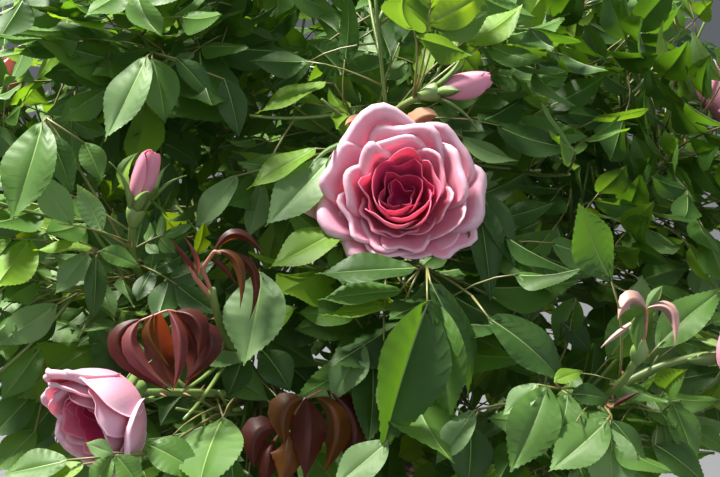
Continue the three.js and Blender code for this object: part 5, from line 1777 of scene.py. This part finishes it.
def chipForm(name, chance):
    wide, thick = chance(0.35, 0.7), chance(0.12, 0.24)
    corners = []
    for z in (-0.5, 0.5):
        for k in range(6):
            angle = 2 * math.pi * k / 6 + chance(-0.25, 0.25)
            reach = chance(0.75, 1.1) * (1 if z < 0 else 0.86)
            corners.append((0.5 * reach * math.cos(angle), 0.5 * wide * reach * math.sin(angle),
                            z * thick * chance(0.8, 1.2) + 0.1 * math.cos(angle) * chance(-0.3, 0.3)))
    faces = [tuple(range(5, -1, -1)), tuple(range(6, 12)), *quads(2, 6, True)]
    return bpy.data.objects.new(name, plainMesh(name, corners, faces, False))


def makeChips(ground):
    chance, look = Chance(321), soilLook
    collection = makeForms("chipForms", [chipForm(f"chip{i}", chance) for i in range(look["chipForms"])])
    graph, given = makeTree("barkChips", {
        "Density": ("NodeSocketFloat", 1000.0), "Smallest": ("NodeSocketFloat", 0.005),
        "Largest": ("NodeSocketFloat", 0.015), "Seed": ("NodeSocketInt", 1)})

    def random(kind, sockets, output):
        return graph.make("FunctionNodeRandomValue", {"data_type": kind}, sockets, output=output)

    spread = graph.make("GeometryNodeDistributePointsOnFaces", None, {
        "Mesh": given["Geometry"], "Density": given["Density"], "Seed": given["Seed"]})
    pick = random("INT", {4: 0, 5: look["chipForms"] - 1, "Seed": 3}, 2)
    low, high = (-look["tilt"], -look["tilt"], 0), (look["tilt"], look["tilt"], 6.28)
    turn = random("FLOAT_VECTOR", {0: low, 1: high, "Seed": 5}, 0)
    turn = graph.make("FunctionNodeEulerToRotation", None, {0: turn})
    size = random("FLOAT", {2: given["Smallest"], 3: given["Largest"], "Seed": 7}, 1)
    pale = random("BOOLEAN", {"Probability": look["paleShare"], "Seed": 9}, 3)
    spread = graph.make("GeometryNodeStoreNamedAttribute", {"data_type": "BOOLEAN", "domain": "POINT"},
                        {"Geometry": spread, "Name": "pale", "Value": pale})
    chips = setFinish(graph, setForms(graph, given, spread, pick, turn, size), "chipDark")
    closeTree(graph, setFinish(graph, chips, "chipPale", attribute(graph, "pale", "BOOLEAN")))
    area = math.pi * (potLook["top"] * metre) ** 2
    smallest, largest = (size * metre for size in look["chip"])
    made = runTree(graph, ground, {"Forms": collection, "Density": look["chips"] / area, "Smallest": smallest,
                                   "Largest": largest, "Seed": look["seed"]})
    dropForms(collection)
    addPiece("bark_chips", made, None)


makePot()
makeChips(makeSoil())
print("pot and potting mix made")


# Pale floor and soft studio light
studio = {
    "floor": 30, "floorColour": (0.14, 0.145, 0.15), "floorShade": (0.1358, 0.14065, 0.1455),
    "sky": (0.86, 0.92, 1.0), "skyStrength": 0.64, "lit": (0, -0.1, 0.45),
    "lamps": (
        {"name": "key", "place": (-1.0, 0.15, 2.5), "size": 0.40, "power": 245, "colour": (1.0, 0.96, 0.89)},
        {"name": "fill", "place": (1.2, -2.2, 1.3), "size": 1.8, "power": 16, "colour": (0.92, 0.96, 1.0)},
    ),
}


def floorSurface(graph):
    return graph.surface(graph.blend(graph.noise(30), studio["floorColour"], studio["floorShade"]), 0.85)


def makeStudio():
    half = studio["floor"]
    corners = [(-half, -half, 0), (half, -half, 0), (half, half, 0), (-half, half, 0)]
    floor = bpy.data.objects.new("floor", plainMesh("floor", corners, [(0, 1, 2, 3)], False))
    scene.collection.objects.link(floor)
    floor.data.materials.append(makeFinish("paleFloor", floorSurface))
    scene.world = bpy.data.worlds.new("studioSky")
    scene.world.use_nodes = True
    background = scene.world.node_tree.nodes["Background"]
    background.inputs["Color"].default_value = (*studio["sky"], 1)
    background.inputs["Strength"].default_value = studio["skyStrength"]
    for lamp in studio["lamps"]:
        data = bpy.data.lights.new(lamp["name"], "AREA")
        data.energy, data.size, data.color = lamp["power"], lamp["size"], lamp["colour"]
        light = bpy.data.objects.new(lamp["name"], data)
        light.location = lamp["place"]
        aim = Vector(studio["lit"]) - Vector(lamp["place"])
        light.rotation_euler = aim.to_track_quat("-Z", "Y").to_euler()
        scene.collection.objects.link(light)


makeStudio()
